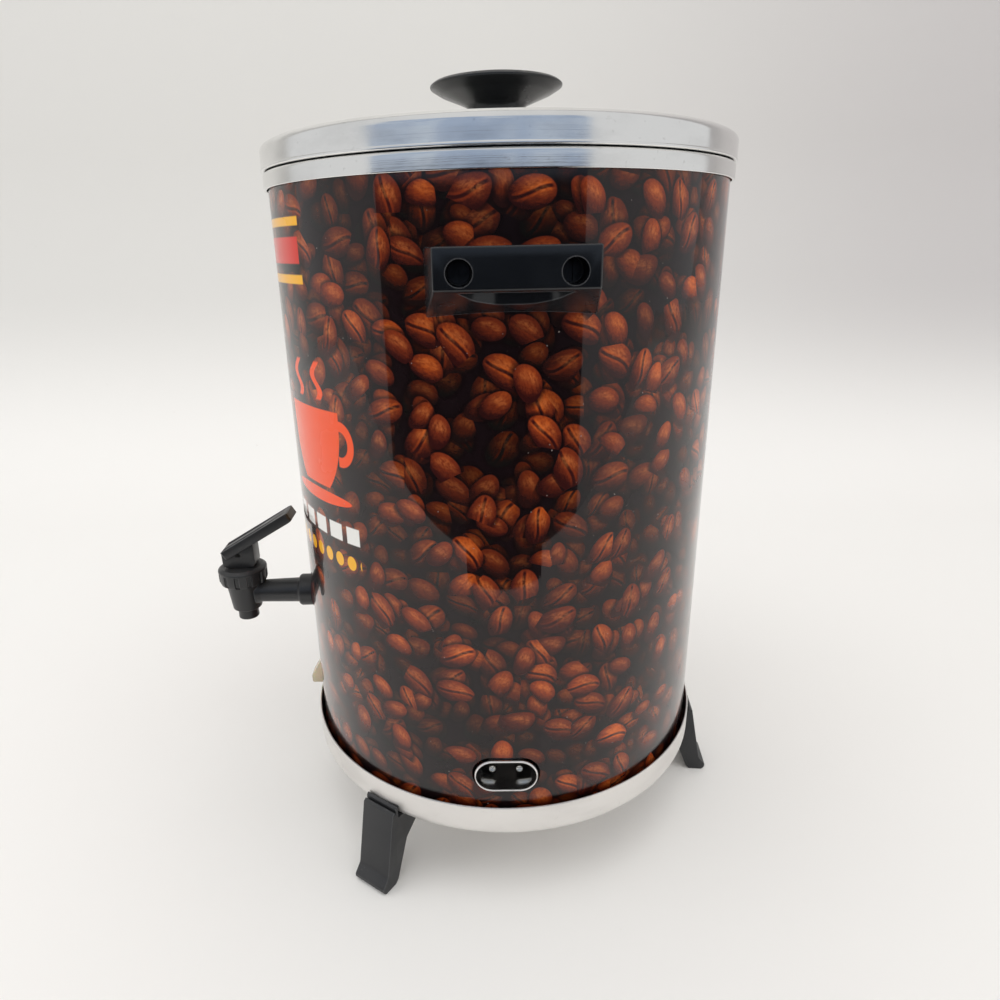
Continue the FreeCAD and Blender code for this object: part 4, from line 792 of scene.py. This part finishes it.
sleeve = ovalTube("sleeve_shell", [
    (inlet["outer"], inlet["back"]), (inlet["outer"], 105.4), (8.42, 105.9), (8.1, inlet["face"]),
    (7.8, inlet["face"]), (7.55, 105.9), (inlet["inner"], 105.4), (inlet["inner"], inlet["back"]),
], inletTurn, "urn")
dress(sleeve, mat["sleeve"])
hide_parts("inlet_sleeve")
for node, material in (("inlet_block", "insulator"), ("inlet_pins", "pins"), ("inlet_bracket", "plate")):
    dressNode(node, mat[material])

# Ready light
print("ready light")
light = {"half": 4.5, "edgeRound": 0.5, "back": 103.2, "low": 57.7, "high": 73.3}
lensOutline = roundOutline([
    (light["back"], light["low"], 0.2), (112.9, light["low"], 1.2), (113.0, 62.4, 1.5),
    (106.3, light["high"], 1.0), (light["back"], light["high"], 0.2),
])
bm = bmesh.new()
prismInto(bm, lensOutline, -light["half"], light["half"], (xAxis, zAxis, yAxis))
bevelEdges(bm, light["edgeRound"], 50)
lens = fromBmesh("lens_shell", bm, "urn", 40, mm, turnZ(urn["frontTurn"]))
dress(lens, mat["lens"])
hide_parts("light_lens")
dressNode("light_lamp", mat["lamp"])

# Tap: a hollow cone with its nozzle, and a side tube with a collar and a shank
print("tap")
tap = {"bore": 3.75, "nozzle": 5.65, "nozzleLow": 101.4, "coneLow": 107.6, "coneHigh": 123.2, "cone": 9.75,
       "neck": 10.85, "neckHigh": 130.0, "chamber": 7.0, "chamberLow": 110.0, "collar": 8.9, "shank": 6.5,
       "shankEnd": 58.0}
tapPlace = Matrix.Translation((0, -urn["tapReach"], 0))
bm = bmesh.new()
latheInto(bm, roundOutline([
    (tap["bore"], tap["nozzleLow"], 0.2), (tap["nozzle"], tap["nozzleLow"], 0.5), (5.45, 107.4, 0.4),
    (7.95, tap["coneLow"], 0.8), (tap["cone"], tap["coneHigh"], 0.5), (tap["neck"], 123.5, 0.3),
    (tap["neck"], tap["neckHigh"], 0.3), (tap["chamber"], tap["neckHigh"], 0.2),
    (tap["chamber"], tap["chamberLow"], 0.4), (tap["bore"], tap["chamberLow"], 0.4),
]), 72)
coneCount = len(bm.verts)
latheInto(bm, roundOutline([
    (tap["bore"], 6.5), (7.6, 6.5, 0.2), (6.3, 9.6, 1.6), (6.9, 31.2, 0.6), (8.3, 31.4, 0.6),
    (tap["collar"], 32.4, 0.6), (tap["collar"], 39.1, 0.5), (tap["shank"], 39.1, 0.3),
    (tap["shank"], tap["shankEnd"], 0.5), (tap["bore"], tap["shankEnd"], 0.3),
]), 72)
bm.verts.ensure_lookup_table()
# the tube is turned about Z like the cone, so it is laid down along Y afterwards
tubeTurn = Matrix.Translation((0, 0, urn["tapHeight"])) @ Matrix.Rotation(math.radians(-90), 4, "X")
for vert in bm.verts[coneCount:]:
    vert.co = tubeTurn @ vert.co
tapShell = fromBmesh("tap_shell", bm, "urn", 35, mm, tapPlace)
dress(tapShell, mat["tap"])
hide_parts("tap_body")

bonnet = {"stemHole": 2.56, "under": 130.3, "top": 133.6, "skirtInside": 10.9, "skirtLow": 124.0,
          "brim": 13.2, "slots": 12, "slotDepth": 0.75, "slotHalf": 1.35, "slotSide": 0.3, "slotTop": 131.0,
          "slotFrom": 12.2}


def bonnetWave(angle, radius, height):
    # the shallow slots in the skirt
    if radius < bonnet["slotFrom"] or height > bonnet["slotTop"]:
        return radius
    step = 360 / bonnet["slots"]
    near = math.radians(abs((math.degrees(angle) + step / 2) % step - step / 2)) * radius
    return radius - bonnet["slotDepth"] * max(0.0, min(1.0, (bonnet["slotHalf"] - near) / bonnet["slotSide"]))


bonnetShell = lathe("bonnet_shell", [
    (bonnet["stemHole"], bonnet["top"]), (bonnet["stemHole"], bonnet["under"]),
    (bonnet["skirtInside"], bonnet["under"]), (bonnet["skirtInside"], bonnet["skirtLow"]),
    (12.4, bonnet["skirtLow"], 0.3), (13.1, 126.0), (13.15, 130.6, 0.2), (bonnet["brim"], 131.0, 0.3),
    (bonnet["brim"], 132.2, 0.9), (11.2, bonnet["top"], 0.8),
], "urn", 240, bonnetWave, tapPlace, 30)
dress(bonnetShell, mat["tap"])
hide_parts("tap_bonnet")
for node, material in (("tap_gasket_outer", "silicone"), ("tap_gasket_inner", "silicone"), ("tap_nut", "tap"),
                       ("tap_stem", "tap"), ("tap_cup", "silicone"), ("tap_spring", "spring"),
                       ("lever_pin", "screw")):
    dressNode(node, mat[material])

# Lever: the block that rolls on the bonnet and its ribbed paddle, in the pivot's own frame
print("lever")
lever = {"rise": 7.5, "cam": 4.5, "half": 9.0, "blockHalf": 5.5, "open": 30.0, "slope": 30.0, "long": 44.5,
         "paddleHalf": 7.5, "wall": 5.4, "groove": 1.4, "rib": 2.1, "back": 6.35, "lift": 1.25}
pivotHeight = bonnet["top"] + 0.2 + lever["rise"]
slope = math.radians(lever["slope"])
along = Vector((math.cos(slope), math.sin(slope)))
across = Vector((-math.sin(slope), math.cos(slope)))
rootPoint = along * -lever["back"] + across * lever["lift"]


def camPoint(turn):
    # a foot whose distance from the pin grows evenly with the turn
    drop = lever["rise"] + lever["cam"] * turn
    return (-(drop * math.sin(turn) + lever["cam"] * math.cos(turn)),
            -drop * math.cos(turn) + lever["cam"] * math.sin(turn))


def paddleInto(bm):
    # a bar with two grooves that close at both ends
    half, long, wall = lever["paddleHalf"], lever["long"], lever["wall"]
    floor, rib, edge = wall - lever["groove"], lever["rib"], 0.35
    profile = roundOutline([
        (-half, 0, 0.7), (half, 0, 0.7), (half, wall, 0.5), (half - 1.2, wall, edge),
        (half - 1.6, floor, edge), (rib + 0.5, floor, edge), (rib, wall - 0.2, edge),
        (-rib, wall - 0.2, edge), (-rib - 0.5, floor, edge), (-half + 1.6, floor, edge),
        (-half + 1.2, wall, edge), (-half, wall, 0.5),
    ], steps=3)
    loops = []
    for distance, shrink in ((0.0, 0.90), (0.7, 1.0), (long - 2.4, 1.0), (long - 0.8, 0.95), (long, 0.82)):
        closed = distance < 0.5 or distance > long - 2.6
        loop = []
        for p in profile:
            height = wall if closed and p[1] > wall - 1.7 else p[1]
            loop.append(bm.verts.new((p[0] * shrink, distance, wall / 2 + (height - wall / 2) * shrink)))
        loops.append(loop)
    for a, b in zip(loops, loops[1:]):
        for k in range(len(a)):
            n = (k + 1) % len(a)
            bm.faces.new((a[k], a[n], b[n], b[k]))
    bm.faces.new(loops[0])
    bm.faces.new(loops[-1][::-1])


blockTop = rootPoint + along * (lever["back"] + lever["half"] + 2.0)
foot = [camPoint(math.radians(lever["open"]) * k / 6) for k in range(7)][::-1]
outline = [(-lever["half"], 1.8)] + foot + [
    (6.4, -7.5), (7.7, -7.15), (8.65, -6.2), (lever["half"], -4.9), (lever["half"], 1.5), tuple(blockTop)]
bm = bmesh.new()
prismInto(bm, outline, -lever["blockHalf"], lever["blockHalf"], (yAxis, zAxis, xAxis))
bevelEdges(bm, 0.5, 40)
paddle = bmesh.new()
paddleInto(paddle)
paddle.transform(Matrix.Translation((0, *rootPoint)) @ Matrix.Rotation(slope, 4, "X"))
scratch = bpy.data.meshes.new("scratch")
paddle.to_mesh(scratch)
paddle.free()
bm.from_mesh(scratch)
bpy.data.meshes.remove(scratch)
leverPlace = Matrix.Translation((0, -urn["tapReach"], pivotHeight))
leverShell = fromBmesh("lever_shell", bm, "lever", 35, mm, leverPlace)
dress(leverShell, mat["tap"])
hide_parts("tap_lever")

# Carried-over pieces
print("carried over")
for node, material in (("leg_screws", "screw"), ("handle_screws", "dark_screw"), ("handle_plates", "plate"),
                       ("heater", "heater"), ("thermostat", "ceramic"), ("centre_stud", "screw"),
                       ("centre_nut", "screw"), ("knob_screw", "screw"), ("pump_base", "pump"),
                       ("pump_tube", "pump"), ("pump_washer", "plate"), ("basket", "basket"),
                       ("spreader", "basket")):
    dressNode(node, mat[material])

# Floor and backdrop
print("stage")


def paperMaterial():
    g = Graph("paper_painted_shade")
    cloud = g.noise(g.place, 1.2, 3)
    fibre = g.noise(g.place, 900, 3)
    specks = g.noise(g.place, 130, 2).above(0.79, 0.02)
    x, y, z = g.split(g.place)
    wall = z.above(0.12, 0.13)
    floor = g.mix(cloud, (0.890, 0.872, 0.845), (0.870, 0.857, 0.838))
    # painted shade: the upright wall of the sweep is painted darker than the floor
    color = g.mix(wall, floor, (0.675, 0.664, 0.642))
    # painted shade: the wall is painted darker still towards +y
    color = g.mix(y.above(0.40, 0.42) * wall * 0.8, color, (0.520, 0.498, 0.498))
    color = g.mix(specks * 0.25, color, (0.55, 0.50, 0.46))
    return g.set(color=color, rough=0.8, normal=g.bump(fibre, 0.0001, 0.3), specular=0.2)


def sweepPiece(name, outline, material):
    # an outline of (distance away from the camera, height), drawn out to both sides
    bm = bmesh.new()
    sides = (-stage["half"], stage["half"])
    rows = [[bm.verts.new((-p[0], side, p[1])) for p in outline] for side in sides]
    for k in range(len(outline) - 1):
        bm.faces.new((rows[0][k], rows[0][k + 1], rows[1][k + 1], rows[1][k]))
    bm.transform(turnZ(cameraTurn))
    mesh = bpy.data.meshes.new(name)
    bm.to_mesh(mesh)
    bm.free()
    piece = newObject(name, mesh, None, 60)
    piece.data.materials.append(material)
    return piece


# The camera's side of the floor isn't mirrored in the jacket, because a dim room stands there instead
cameraTurn = -2.8
stage = {"half": 2.6, "seam": -0.43, "wall": 0.85, "corner": 0.45, "high": 2.6, "nearEnd": -2.4}
paper_painted_shade = paperMaterial()
sweep = [(stage["seam"], 0), (stage["wall"], 0, stage["corner"]), (stage["wall"], stage["high"])]
sweepPiece("backdrop", roundOutline(sweep, closed=False, steps=24), paper_painted_shade)
nearFloor = sweepPiece("floor_near", [(stage["nearEnd"], 0), (stage["seam"], 0)], paper_painted_shade)
nearFloor.visible_glossy = False


def roomMaterial():
    # what the shiny sides mirror from the photographer's side: a dim room with a pale window band above
    g = Graph("dim_room")
    x, y, z = g.split(g.place)
    cloud = g.noise(g.place, 2.2, 2)
    low = g.mix(cloud, (0.022, 0.022, 0.028), (0.040, 0.040, 0.050))
    high = g.mix(cloud.above(0.5, 0.12), (0.34, 0.42, 0.56), (0.58, 0.64, 0.72))
    glow = g.mix(z.above(0.412, 0.015), low, high)
    return g.set(color=(0.0, 0.0, 0.0), rough=1.0, specular=0.0, emission=glow, emissionPower=1.0)


bm = bmesh.new()
room = {"radius": 1.3, "low": -2.2, "high": 1.3, "start": -55.0, "end": 39.0, "steps": 32}
rows = []
for height in (room["low"], room["high"]):
    row = []
    for k in range(room["steps"] + 1):
        angle = math.radians(room["start"] + (room["end"] - room["start"]) * k / room["steps"])
        row.append(bm.verts.new((room["radius"] * math.cos(angle), room["radius"] * math.sin(angle), height)))
    rows.append(row)
for k in range(room["steps"]):
    bm.faces.new((rows[0][k], rows[1][k], rows[1][k + 1], rows[0][k + 1]))
bm.transform(turnZ(cameraTurn))
mesh = bpy.data.meshes.new("room_card")
bm.to_mesh(mesh)
bm.free()
card = newObject("room_card", mesh, None, 60)
card.data.materials.append(roomMaterial())
card.visible_camera = False
card.visible_diffuse = False
card.visible_shadow = False
card.visible_transmission = False

# Light: a pale surround with soft boxes left, right and above
print("light")
world = bpy.data.worlds.new("studio")
bpy.context.scene.world = world
world.use_nodes = True
background = world.node_tree.nodes["Background"]
background.inputs["Color"].default_value = (0.93, 0.935, 0.94, 1)
background.inputs["Strength"].default_value = 0.78


def softBox(name, place, target, wide, tall, power, color=(1, 1, 1)):
    source = bpy.data.lights.new(name, "AREA")
    source.shape = "RECTANGLE"
    source.size = wide
    source.size_y = tall
    source.energy = power
    source.color = color
    lamp = bpy.data.objects.new(name, source)
    bpy.context.scene.collection.objects.link(lamp)
    lamp.location = place
    lamp.visible_glossy = False
    direction = Vector(target) - Vector(place)
    lamp.rotation_euler = direction.to_track_quat("-Z", "Y").to_euler()
    return lamp


softBox("top_box", (0.15, 0.0, 1.7), (0, 0, 0.1), 1.8, 1.8, 12.0, (1.0, 0.99, 0.97))
softBox("left_box", (0.35, -1.5, 0.75), (0, 0, 0.2), 1.1, 1.3, 5.0, (0.98, 0.99, 1.0))
softBox("right_box", (0.55, 1.5, 0.75), (0, 0, 0.2), 1.1, 1.3, 4.0, (1.0, 0.98, 0.97))

# Camera solved from the photograph: pixels of the picture, radians, metres
camera = {"focal": 707.23, "middle": 480.18, "pixels": 1000.0, "pitch": 0.3466, "yaw": -0.0305,
          "roll": -0.021, "distance": 0.3662, "height": 0.3004, "turn": cameraTurn}
data = bpy.data.cameras.new("camera")
data.sensor_width = 36.0
data.sensor_fit = "HORIZONTAL"
data.lens = camera["focal"] * data.sensor_width / camera["pixels"]
data.shift_x = 0.5 - camera["middle"] / camera["pixels"]
data.clip_start = 0.01
eye = bpy.data.objects.new("camera", data)
bpy.context.scene.collection.objects.link(eye)
cy, sy = math.cos(camera["yaw"]), math.sin(camera["yaw"])
cp, sp = math.cos(camera["pitch"]), math.sin(camera["pitch"])
cr, sr = math.cos(camera["roll"]), math.sin(camera["roll"])
right = Vector((sy, cy, 0))
ahead = Vector((-cy * cp, sy * cp, -sp))
above = Vector((-cy * sp, sy * sp, cp))
pose = Matrix((right * cr + above * sr, above * cr - right * sr, -ahead)).transposed().to_4x4()
pose.translation = (camera["distance"], 0, camera["height"])
eye.matrix_world = turnZ(camera["turn"]) @ pose
bpy.context.scene.camera = eye
bpy.context.scene.view_settings.view_transform = "Standard"

print("done")
